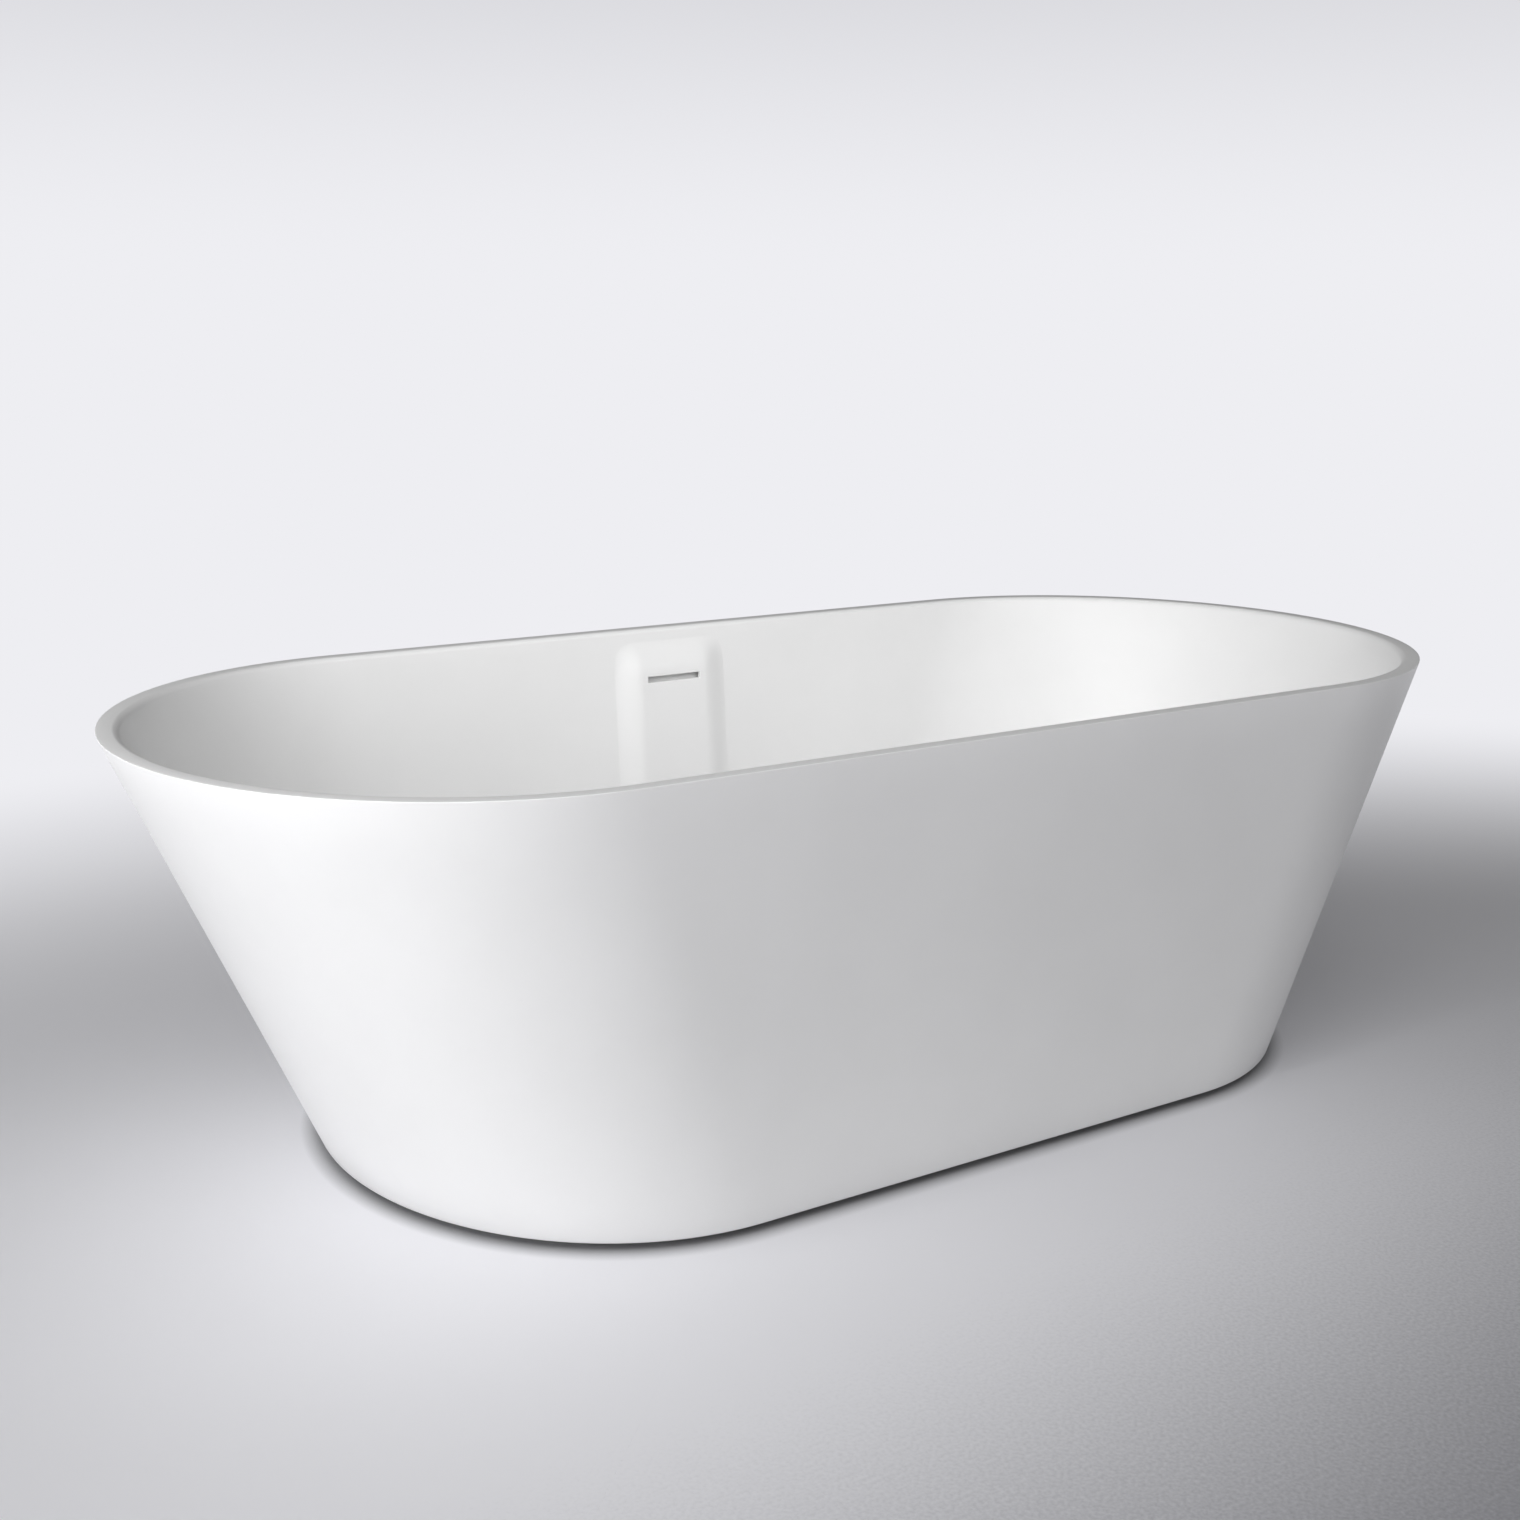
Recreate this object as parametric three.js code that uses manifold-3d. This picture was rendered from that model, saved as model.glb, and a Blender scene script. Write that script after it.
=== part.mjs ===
// A freestanding bathtub: a cast solid-surface tub with a raised overflow channel on its rear wall,
// a pop-up waste, a shallow trap, and a welded steel frame on four levelling feet under the bowl.
// The origin is on the floor at the middle of the tub. +X runs along it, +Y points to the overflow
// side and +Z points up.
import * as THREE from "three";
import { mergeVertices } from "three/addons/utils/BufferGeometryUtils.js";
import Module from "manifold-3d";

const wasm = await Module();
wasm.setup();

// Driving dimensions, in millimetres.
const GAP = 0.3; // clearance between two pieces that touch
const RIM = { length: 1700, width: 800, cap: 377, z: 500 };
const BASE = { length: 1272, width: 716, cap: 320, z: 8 };
const WALL = { rim: 22, skirt: 20, edgeRound: 6 };
const OUTLET_CUT = { low: 120, high: 212 }; // where the overflow water leaves through the wall
const BOWL = { floor: 115, round: 110, slab: 20, drainLip: 110 };
const CAP_STEPS = 24;
const STRAIGHT_STEPS = 8;
const ROUND_STEPS = 7;
const ROUND_SIDES = 20; // sides of a turned piece

const COLUMN = { flat: 48, foot: 92, proud: 11.5, skin: 5.5, top: 489, fadeFrom: 438, bottom: 176.5 };
const SLOT = { half: 41, low: 428, high: 436 };
const CHANNEL = { half: 43, low: 182, high: 441 };
const DUCT = { half: 30, near: 22, far: 31.7, wall: 2, top: 176, low: 88 };
const SUMP = { half: 34, near: 22.3, far: 66, low: 52, wall: 2.5, spigotReach: 34 };

const DRAIN = { hole: 26, recess: 40, recessFloor: 103 };
const FLANGE = { thread: 24, low: 80, seat: 105.5, outer: 35, brim: 107.4, top: 108.5, mouth: 22 };
const HUB = { radius: 8, low: 82, height: 8, bore: 5.3, spokeWidth: 3, spokeHeight: 5 };
const PLUG_STEM = { radius: 2.5, low: 77.5, plate: 12, plateLow: 103.5, top: 105.5 };
const PLUG = { boss: 12.2, thickness: 7, outer: 33, top: 117.6 };
const OVERFLOW_Z = 70;
const HOSE = { outer: 11.7, inner: 9.7 };
const SPIGOT = { outer: 15, inner: 12 };
const HOSE_NUT = { outer: 20, nose: 17, length: 24, step: 14, overlap: 13.5 };
const WASTE = { bottom: 50, top: 91.4, outer: 34, wall: 3.5, neck: 24.3, neckFrom: 78, spigotEnd: 66 };
const PIPE = { outer: 16, inner: 14, z: 70.5, seal: 2 };
const TRAP = { length: 248, lead: 15, dip: 46, steps: 20, sides: 8 };
const UNION = { outer: 22, length: 26 };
const COUPLING = { outer: 24, length: 30, socket: 22.3 };
const OUTLET_END = 450;

const RAIL = { length: 900, y: 180, size: 25, wall: 2, low: 26 };
const CROSSBAR_X = 370;
const BLOCK = { length: 44, width: 40, places: [-300, -125, 125, 300] };
const FOOT = { x: 425, stud: 5.7, bore: 6, insertHole: 9 };
const PAD = { radius: 24, edge: 3.5, collar: 13, socket: 7.3, well: 3.3, top: 8 };
const STUD = { ball: 7, ballLow: 3.6, hexLow: 8.4, hexTop: 14, hexRadius: 9.8, top: 48 };
const LOCK_NUT = { radius: 11, low: 16, top: 22.7 };
const INSERT = { flange: 12, barrel: 8.7, low: 23, under: 25.7, top: 38 };
const RAIL_TOP = RAIL.low + RAIL.size;
const UNDERSIDE = BOWL.floor - BOWL.slab;
const REAR_SPIGOT_END = outlineAt(OVERFLOW_Z, SUMP.far).half - SUMP.spigotReach;
const FRONT_SPIGOT_END = 62;

const FINISH = {
  solidSurface: { color: 0xf1f1f0, roughness: 0.42, metalness: 0 },
  chrome: { color: 0xd8dadc, roughness: 0.08, metalness: 1 },
  zincSteel: { color: 0xa9adb0, roughness: 0.38, metalness: 1 },
  frameSteel: { color: 0x3a3d40, roughness: 0.5, metalness: 0.3 },
  whitePlastic: { color: 0xe9eae8, roughness: 0.35, metalness: 0 },
  greyPlastic: { color: 0x8d9194, roughness: 0.4, metalness: 0 },
  blackPlastic: { color: 0x1c1d1f, roughness: 0.5, metalness: 0 },
  blackRubber: { color: 0x202122, roughness: 0.85, metalness: 0 },
  bondingBlock: { color: 0xc2b79f, roughness: 0.8, metalness: 0 },
};

// ---- Geometry helpers ----

/** Six times the volume that a merged, indexed geometry encloses, negative when it is inside out. */
function signedVolume(geometry) {
  const position = geometry.getAttribute("position");
  const [a, b, c] = [new THREE.Vector3(), new THREE.Vector3(), new THREE.Vector3()];
  let total = 0;
  for (let i = 0; i < geometry.index.count; i += 3) {
    [a, b, c].forEach((corner, k) => corner.fromBufferAttribute(position, geometry.index.getX(i + k)));
    total += a.dot(b.cross(c));
  }
  return total;
}

/** The same shape with shared vertices and its faces pointing out. */
function closed(geometry) {
  geometry.deleteAttribute("normal");
  geometry.deleteAttribute("uv");
  const merged = mergeVertices(geometry, 1e-4);
  if (signedVolume(merged) < 0) {
    merged.setIndex(Array.from(merged.index.array).reverse());
  }
  return merged;
}

function toSolid(geometry) {
  const merged = closed(geometry);
  return new wasm.Manifold(new wasm.Mesh({
    numProp: 3,
    vertProperties: new Float32Array(merged.getAttribute("position").array),
    triVerts: new Uint32Array(merged.index.array),
  }));
}

/** Joins the first list of geometries and cuts the second list from them. */
function combine(joined, cuts = []) {
  let solid = joined.map(toSolid).reduce((sum, piece) => sum.add(piece));
  for (const cut of cuts) {
    solid = solid.subtract(toSolid(cut));
  }
  const mesh = solid.getMesh();
  const geometry = new THREE.BufferGeometry();
  geometry.setAttribute("position", new THREE.Float32BufferAttribute(mesh.vertProperties, 3));
  geometry.setIndex(Array.from(mesh.triVerts));
  return geometry;
}

/** Revolves a closed list of [radius, height] corners about the Z axis. */
function revolve(corners, segments = ROUND_SIDES) {
  const open = corners[0][0] === 0 && corners.at(-1)[0] === 0;
  const profile = open ? corners : [...corners, corners[0]];
  const points = profile.map(([radius, height]) => new THREE.Vector2(radius, height));
  return closed(new THREE.LatheGeometry(points, segments).rotateX(Math.PI / 2));
}

function washer(inner, outer, low, high, segments) {
  return revolve([[inner, low], [outer, low], [outer, high], [inner, high]], segments);
}

function rod(radius, low, high, segments) {
  return revolve([[0, low], [radius, low], [radius, high], [0, high]], segments);
}

function block(sizeX, sizeY, sizeZ, x, y, z) {
  return new THREE.BoxGeometry(sizeX, sizeY, sizeZ).translate(x, y, z);
}

/** A hexagonal prism with an optional round bore, from low to high. */
function hexagon(radius, low, high, bore = 0) {
  const corners = Array.from({ length: 6 }, (_, i) => {
    const turn = (i * Math.PI) / 3;
    return new THREE.Vector2(radius * Math.cos(turn), radius * Math.sin(turn));
  });
  const shape = new THREE.Shape(corners);
  if (bore > 0) {
    shape.holes.push(new THREE.Path().absarc(0, 0, bore, 0, 2 * Math.PI, true));
  }
  const settings = { depth: high - low, bevelEnabled: false, curveSegments: ROUND_SIDES / 2 };
  return closed(new THREE.ExtrudeGeometry(shape, settings).translate(0, 0, low));
}

/** Turns a shape built along Z so that it runs along -X at height z. */
const alongMinusX = (geometry, z) => geometry.rotateY(-Math.PI / 2).translate(0, 0, z);

/** Turns a shape built along Z so that it runs along +Y at height z. */
const alongY = (geometry, z) => geometry.rotateX(-Math.PI / 2).translate(0, 0, z);

// ---- The tub's outline ----

/** Half-sizes of the outline at height z, moved inwards by inset. */
function outlineAt(z, inset) {
  const rise = (z - BASE.z) / (RIM.z - BASE.z);
  return {
    straight: THREE.MathUtils.lerp(BASE.length / 2 - BASE.cap, RIM.length / 2 - RIM.cap, rise),
    cap: THREE.MathUtils.lerp(BASE.cap, RIM.cap, rise) - inset,
    half: THREE.MathUtils.lerp(BASE.width / 2, RIM.width / 2, rise) - inset,
  };
}

/** One level ring of points: two straight sides joined by elliptical ends. */
function ring(z, inset) {
  const { straight, cap, half } = outlineAt(z, inset);
  const points = [];
  for (const side of [1, -1]) {
    for (let i = 0; i < CAP_STEPS; i += 1) {
      const turn = Math.PI * (i / CAP_STEPS - 0.5);
      const along = straight + cap * Math.cos(turn);
      points.push(new THREE.Vector3(side * along, side * half * Math.sin(turn), z));
    }
    for (let i = 0; i < STRAIGHT_STEPS; i += 1) {
      points.push(new THREE.Vector3(side * straight * (1 - (2 * i) / STRAIGHT_STEPS), side * half, z));
    }
  }
  return points;
}

/** A round ring about the drain, with its points on the same rays as the bowl floor's ring. */
function drainRing(z, radius) {
  return ring(BOWL.floor, WALL.rim + BOWL.round).map(({ x, y }) => {
    const turn = Math.atan2(y, x);
    return new THREE.Vector3(radius * Math.cos(turn), radius * Math.sin(turn), z);
  });
}

/** Joins rings of equal length into one closed skin; the last ring meets the first. */
function skinOf(rings) {
  const count = rings[0].length;
  const index = [];
  rings.forEach((_, level) => {
    const next = (level + 1) % rings.length;
    for (let k = 0; k < count; k += 1) {
      const step = (k + 1) % count;
      const [a, b] = [level * count + k, level * count + step];
      const [c, d] = [next * count + k, next * count + step];
      index.push(a, b, d, a, d, c);
    }
  });
  const geometry = new THREE.BufferGeometry();
  const position = rings.flat().flatMap((point) => point.toArray());
  geometry.setAttribute("position", new THREE.Float32BufferAttribute(position, 3));
  geometry.setIndex(index);
  return closed(geometry);
}

/** Height and inset of the corner between the bowl's wall (step 0) and its floor (last step). */
function cornerAt(step, radius = BOWL.round, start = 0) {
  const turn = THREE.MathUtils.lerp(start, Math.PI / 2, step / ROUND_STEPS);
  const z = BOWL.floor + BOWL.round - radius * Math.sin(turn);
  return { z, inset: WALL.rim + BOWL.round - radius * Math.cos(turn) };
}

/** How far the bowl's inner surface lies inside the outer outline at height z, facet by facet. */
function bowlInset(z) {
  for (let step = 0; step < ROUND_STEPS; step += 1) {
    const [high, low] = [cornerAt(step), cornerAt(step + 1)];
    if (z >= high.z) {
      return high.inset;
    }
    if (z >= low.z) {
      return THREE.MathUtils.mapLinear(z, high.z, low.z, high.inset, low.inset);
    }
  }
  return WALL.rim + BOWL.round;
}

/** A box whose Y faces follow the rear wall at two insets, so that it leans as the wall does. */
function leaningBox(half, nearInset, farInset, low, high) {
  const geometry = new THREE.BoxGeometry(2 * half, farInset - nearInset, high - low);
  geometry.translate(0, (nearInset + farInset) / 2, (low + high) / 2);
  const position = geometry.getAttribute("position");
  for (let i = 0; i < position.count; i += 1) {
    position.setY(i, outlineAt(position.getZ(i), position.getY(i)).half);
  }
  return closed(geometry);
}

// ---- Tub and overflow ----

function tubShell() {
  const cornerRing = (corner) => ring(corner.z, corner.inset);
  const underRadius = BOWL.round + BOWL.slab;
  const underStart = Math.acos((WALL.rim + BOWL.round - WALL.skirt) / underRadius);
  const underside = [];
  const bowl = [];
  for (let step = 0; step <= ROUND_STEPS; step += 1) {
    underside.push(cornerRing(cornerAt(step, underRadius, underStart)));
    bowl.unshift(cornerRing(cornerAt(step)));
  }
  const edge = [1, 2 / 3, 1 / 3, 0].map((share) => {
    const turn = (share * Math.PI) / 2;
    const inset = WALL.rim - WALL.edgeRound * (1 - Math.sin(turn));
    return ring(RIM.z - WALL.edgeRound * (1 - Math.cos(turn)), inset);
  });
  const skin = skinOf([
    ring(RIM.z, 0),
    ring(BASE.z, 0),
    ring(BASE.z, WALL.skirt),
    ...underside,
    drainRing(UNDERSIDE, DRAIN.hole),
    drainRing(DRAIN.recessFloor, DRAIN.hole),
    drainRing(DRAIN.recessFloor, DRAIN.recess),
    drainRing(BOWL.drainLip, DRAIN.recess),
    ...bowl,
    ...edge,
  ]);
  const { low, high } = OUTLET_CUT;
  const outlet = leaningBox(DUCT.half + GAP, DUCT.near - GAP, DUCT.far + GAP, low, high);
  return combine([skin], [outlet]);
}

/** How much of the column's height stands at a distance from its middle: its sides are soft S-curves. */
function columnShare(x) {
  return 1 - THREE.MathUtils.smoothstep(Math.abs(x), COLUMN.flat, COLUMN.foot);
}

function overflowCover() {
  const thinnest = 0.6;
  const footSteps = 8;
  const { lerp, smoothstep } = THREE.MathUtils;
  const leftSide = Array.from({ length: footSteps + 1 }, (_, i) =>
    lerp(-COLUMN.foot, -COLUMN.flat, i / footSteps));
  const columns = [...leftSide, ...leftSide.map((x) => -x).reverse()];
  const fadeLevels = [0, 0.25, 0.5, 0.75, 1].map((t) => lerp(COLUMN.fadeFrom, COLUMN.top, t));
  const cornerLevels = [...Array(ROUND_STEPS).keys()].map((step) => cornerAt(step).z).reverse();
  const lowLevels = cornerLevels.filter((z) => z > COLUMN.bottom + 1);
  const levels = [COLUMN.bottom, ...lowLevels, ...fadeLevels];
  const frontLift = (x, z) => {
    const fade = 1 - smoothstep(z, COLUMN.fadeFrom, COLUMN.top);
    const height = COLUMN.proud * columnShare(x) * fade - (bowlInset(z) - WALL.rim);
    return Math.max(height, thinnest);
  };
  const width = columns.length;
  const position = [];
  for (const z of levels) {
    for (const front of [true, false]) {
      for (const x of columns) {
        const lift = GAP + (front ? frontLift(x, z) : 0);
        position.push(x, outlineAt(z, bowlInset(z) + lift).half, z);
      }
    }
  }
  // Each level is one loop: along the front and back along the rear.
  const loop = [...columns.keys(), ...[...columns.keys()].reverse().map((k) => width + k)];
  const index = [];
  const face = (a, b, c, d) => index.push(a, b, c, a, c, d);
  for (let level = 0; level + 1 < levels.length; level += 1) {
    const [low, high] = [2 * width * level, 2 * width * (level + 1)];
    loop.forEach((k, i) => {
      const next = loop[(i + 1) % loop.length];
      face(low + k, low + next, high + next, high + k);
    });
  }
  const top = 2 * width * (levels.length - 1);
  for (let k = 0; k + 1 < width; k += 1) {
    face(k + 1, k, width + k, width + k + 1);
    face(top + k, top + k + 1, top + width + k + 1, top + width + k);
  }
  const geometry = new THREE.BufferGeometry();
  geometry.setAttribute("position", new THREE.Float32BufferAttribute(position, 3));
  geometry.setIndex(index);
  const front = WALL.rim + COLUMN.proud;
  const behind = WALL.rim - 2;
  const channel = leaningBox(CHANNEL.half, behind, front - COLUMN.skin, CHANNEL.low, CHANNEL.high);
  const slot = leaningBox(SLOT.half, behind, front + 5, SLOT.low, SLOT.high);
  return combine([geometry], [channel, slot]);
}

/** A flat duct from the tub's wall down into a small sump, with a spigot that faces the drain. */
function overflowConnector() {
  const sumpTop = DUCT.low + DUCT.wall;
  const ductBore = leaningBox(
    DUCT.half - DUCT.wall, DUCT.near + DUCT.wall, DUCT.far - DUCT.wall, DUCT.low - 8, DUCT.top + 5,
  );
  const { wall } = SUMP;
  const sumpBore = leaningBox(
    SUMP.half - wall, SUMP.near + wall, SUMP.far - wall, SUMP.low + wall, DUCT.low - 1,
  );
  const spigotEnd = REAR_SPIGOT_END + SUMP.spigotReach;
  return combine(
    [
      leaningBox(DUCT.half, DUCT.near, DUCT.far, DUCT.low, DUCT.top),
      leaningBox(SUMP.half, SUMP.near, SUMP.far, SUMP.low, sumpTop),
      alongY(rod(SPIGOT.outer, REAR_SPIGOT_END, spigotEnd + 2), OVERFLOW_Z),
    ],
    [
      ductBore,
      sumpBore,
      alongY(rod(SPIGOT.inner, REAR_SPIGOT_END - 2, spigotEnd + 12), OVERFLOW_Z),
    ],
  );
}

/** A compression nut that grips a spigot of the first radius and narrows to the pipe beyond it. */
function overflowNut() {
  const { outer, nose, length, step } = HOSE_NUT;
  return revolve([
    [SPIGOT.outer + GAP, 0],
    [outer, 0],
    [outer, length - 3],
    [nose, length],
    [HOSE.outer + GAP, length],
    [HOSE.outer + GAP, step],
    [SPIGOT.outer + GAP, step],
  ]);
}

/** The hose between the two spigots; it goes a little way into each. */
function overflowPipe() {
  const inset = 14;
  const [start, end] = [FRONT_SPIGOT_END - inset, REAR_SPIGOT_END + inset];
  return alongY(washer(HOSE.inner, HOSE.outer, start, end), OVERFLOW_Z);
}

// ---- Waste and trap ----

/** The threaded sleeve with its wide brim, and a hub on two cross bars that holds the cartridge. */
function drainFlange() {
  const { thread, low, seat, outer, brim, top, mouth } = FLANGE;
  const throat = mouth - 2;
  const sleeve = revolve([
    [throat, low],
    [thread, low],
    [thread, seat],
    [outer, seat],
    [outer, brim],
    [outer - 1.4, top],
    [mouth, top],
    [throat, top - 2],
  ], 28);
  const hub = rod(HUB.radius, HUB.low, HUB.low + HUB.height);
  const spokeZ = HUB.low + 3.5;
  const spokes = [0, Math.PI / 2].map((turn) =>
    block(2 * throat + 1, HUB.spokeWidth, HUB.spokeHeight, 0, 0, spokeZ).rotateZ(turn));
  return combine([sleeve, hub, ...spokes], [rod(HUB.bore, HUB.low - 2, HUB.low + 12)]);
}

/** The latch that stands in the hub, with a collar that rests on it and a bore for the stem. */
function clickCartridge() {
  const collar = HUB.low + HUB.height + GAP;
  const bore = PLUG_STEM.radius + GAP;
  return revolve([
    [0, 74], [5, 74], [5, collar], [7, collar], [7, 98], [6, 99], [bore, 99], [bore, 76], [0, 76],
  ]);
}

function plugStem() {
  const { radius, low, plate, plateLow, top } = PLUG_STEM;
  return revolve([[0, low], [radius, low], [radius, plateLow], [plate, plateLow], [plate, top], [0, top]]);
}

/** The slightly domed cap, with a boss that stands on the stem's plate. */
function drainPlug() {
  const { boss, thickness, outer, top } = PLUG;
  const low = PLUG_STEM.top + GAP;
  const under = top - thickness;
  return revolve([
    [0, low],
    [boss, low],
    [boss, under],
    [outer - 1, under],
    [outer, under + 1],
    [outer, top - 2.2],
    [outer - 1.4, top - 0.8],
    [outer - 15, top - 0.2],
    [0, top],
  ], 28);
}

function wasteBody() {
  const { bottom, top, outer, wall, neck, neckFrom, spigotEnd } = WASTE;
  const cup = revolve([
    [0, bottom], [outer, bottom], [outer, 84], [38, 87], [38, top], [neck, top], [neck, neckFrom],
    [outer - wall, neckFrom], [outer - wall, bottom + wall], [0, bottom + wall],
  ], 24);
  const inlet = alongY(washer(SPIGOT.inner, SPIGOT.outer, 29, FRONT_SPIGOT_END), OVERFLOW_Z);
  const outlet = alongMinusX(washer(PIPE.inner, PIPE.outer, 29, spigotEnd), PIPE.z);
  const inletBore = alongY(rod(SPIGOT.inner, 26, 45), OVERFLOW_Z);
  const outletBore = alongMinusX(rod(PIPE.inner, 26, 45), PIPE.z);
  return combine([cup, inlet, outlet], [inletBore, outletBore]);
}

/** The trap's centre line: level at both ends, with a smooth dip that holds the water seal. */
class TrapCurve extends THREE.Curve {
  getPoint(t, target = new THREE.Vector3()) {
    const reach = TRAP.length * t;
    const share = THREE.MathUtils.clamp((reach - TRAP.lead) / (TRAP.length - 2 * TRAP.lead), 0, 1);
    return target.set(-reach, 0, -TRAP.dip * Math.sin(Math.PI * share) ** 2);
  }
}

function trapBody() {
  const section = new THREE.Shape().absarc(0, 0, PIPE.outer, 0, 2 * Math.PI, false);
  section.holes.push(new THREE.Path().absarc(0, 0, PIPE.inner, 0, 2 * Math.PI, true));
  return closed(new THREE.ExtrudeGeometry(section, {
    steps: TRAP.steps,
    curveSegments: TRAP.sides,
    bevelEnabled: false,
    extrudePath: new TrapCurve(),
  }));
}

/** A straight length of the drain's pipe. */
const drainPipe = (length) => alongMinusX(washer(PIPE.inner, PIPE.outer, 0, length), 0);

/** A union nut over two pipe ends. */
const unionNut = () => alongMinusX(washer(PIPE.outer + GAP, UNION.outer, 0, UNION.length), 0);

/** A socket on the end of the outlet pipe, with a flat face that the drain hose seals on. */
function outletCoupling() {
  const { outer, length, socket } = COUPLING;
  const [bore, mouth] = [PIPE.outer + GAP, PIPE.inner];
  const profile = [[bore, 0], [outer, 0], [outer, length], [mouth, length], [mouth, socket], [bore, socket]];
  return alongMinusX(revolve(profile), 0);
}

// ---- Frame and feet ----

function squareTube(length) {
  const corners = [[-1, -1], [1, -1], [1, 1], [-1, 1]];
  const square = (half) => corners.map(([x, y]) => new THREE.Vector2(x * half, y * half));
  const shape = new THREE.Shape(square(RAIL.size / 2));
  shape.holes.push(new THREE.Path(square(RAIL.size / 2 - RAIL.wall)));
  const tube = new THREE.ExtrudeGeometry(shape, { depth: length, bevelEnabled: false });
  return closed(tube.translate(0, 0, -length / 2).rotateY(Math.PI / 2));
}

function rail() {
  const holes = [-1, 1].map((side) => rod(FOOT.insertHole, -20, 0).translate(side * FOOT.x, 0, 0));
  return combine([squareTube(RAIL.length)], holes);
}

function railCap() {
  const inside = RAIL.size - 2 * (RAIL.wall + GAP);
  const plate = block(3, RAIL.size, RAIL.size, 1.5 + GAP, 0, 0);
  const tongue = block(11, inside, inside, -4.5, 0, 0);
  return combine([plate, tongue]);
}

function footPad() {
  const { radius, edge, collar, socket, well, top } = PAD;
  const outside = [[0, 0], [radius, 0], [radius, edge], [collar, top]];
  return revolve([...outside, [socket, top], [socket, well], [0, well]]);
}

/** A threaded stud with a hexagon to turn it by, and a round end that stands in the pad's socket. */
function footStud() {
  const { ball, ballLow, hexLow, hexTop, hexRadius, top } = STUD;
  const shank = rod(FOOT.stud, hexTop - 1, top);
  return combine([rod(ball, ballLow, hexLow + 0.6), hexagon(hexRadius, hexLow, hexTop), shank]);
}

const footLockNut = () => hexagon(LOCK_NUT.radius, LOCK_NUT.low, LOCK_NUT.top, FOOT.bore);

/** The threaded insert that sits in the rail's lower wall, with a flange under it. */
function footInsert() {
  const { flange, barrel, low, under, top } = INSERT;
  return revolve([
    [FOOT.bore, low], [flange, low], [flange, under], [barrel, under], [barrel, top], [FOOT.bore, top],
  ]);
}

// ---- Assembly ----

const bathtub = new THREE.Group();

function add(name, geometry, finish, x = 0, y = 0, z = 0, parent = bathtub) {
  const mesh = new THREE.Mesh(geometry, new THREE.MeshStandardMaterial(FINISH[finish]));
  mesh.name = name;
  mesh.position.set(x, y, z);
  parent.add(mesh);
  return mesh;
}

add("tub_shell", tubShell(), "solidSurface");
add("overflow_cover", overflowCover(), "solidSurface");
add("overflow_connector", overflowConnector(), "greyPlastic");
add("overflow_pipe", overflowPipe(), "greyPlastic");
const [frontNutY, rearNutY] = [FRONT_SPIGOT_END - HOSE_NUT.overlap, REAR_SPIGOT_END + HOSE_NUT.overlap];
add("overflow_nut_front", alongY(overflowNut(), 0), "blackPlastic", 0, frontNutY, OVERFLOW_Z);
const rearNut = add("overflow_nut_rear", alongY(overflowNut(), 0), "blackPlastic", 0, rearNutY, OVERFLOW_Z);
rearNut.rotation.z = Math.PI;

const gasketBore = FLANGE.thread + 0.5;
const flangeGasket = washer(gasketBore, FLANGE.outer - 1, DRAIN.recessFloor + GAP, FLANGE.seat - GAP);
const wasteGasket = washer(gasketBore, FLANGE.outer + 1, WASTE.top + GAP, UNDERSIDE - GAP);
add("drain_flange", drainFlange(), "chrome");
add("flange_gasket", flangeGasket, "blackRubber");
add("waste_gasket", wasteGasket, "blackRubber");
add("waste_body", wasteBody(), "greyPlastic");
add("click_cartridge", clickCartridge(), "whitePlastic");
add("plug_stem", plugStem(), "zincSteel");
add("plug_seal", washer(12.5, 26, FLANGE.top + GAP, 110.3), "blackRubber");
add("drain_plug", drainPlug(), "solidSurface");

const pipeRun = new THREE.Group();
pipeRun.position.z = PIPE.z;
bathtub.add(pipeRun);
const trapStart = WASTE.spigotEnd + PIPE.seal + 2 * GAP;
const trapEnd = trapStart + TRAP.length;
const outletStart = trapEnd + PIPE.seal + 2 * GAP;
const outletLength = OUTLET_END - (COUPLING.length - COUPLING.socket) - GAP - outletStart;
const pipeParts = [
  ["trap_inlet_seal", drainPipe(PIPE.seal), "blackRubber", WASTE.spigotEnd + GAP],
  ["trap_inlet_nut", unionNut(), "whitePlastic", trapStart - UNION.length / 2],
  ["trap_body", trapBody(), "whitePlastic", trapStart],
  ["trap_outlet_seal", drainPipe(PIPE.seal), "blackRubber", trapEnd + GAP],
  ["trap_outlet_nut", unionNut(), "whitePlastic", trapEnd - UNION.length / 2],
  ["outlet_pipe", drainPipe(outletLength), "whitePlastic", outletStart],
  ["outlet_coupling", outletCoupling(), "greyPlastic", OUTLET_END - COUPLING.length],
];
for (const [name, geometry, finish, reach] of pipeParts) {
  add(name, geometry, finish, -reach, 0, 0, pipeRun);
}

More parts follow.
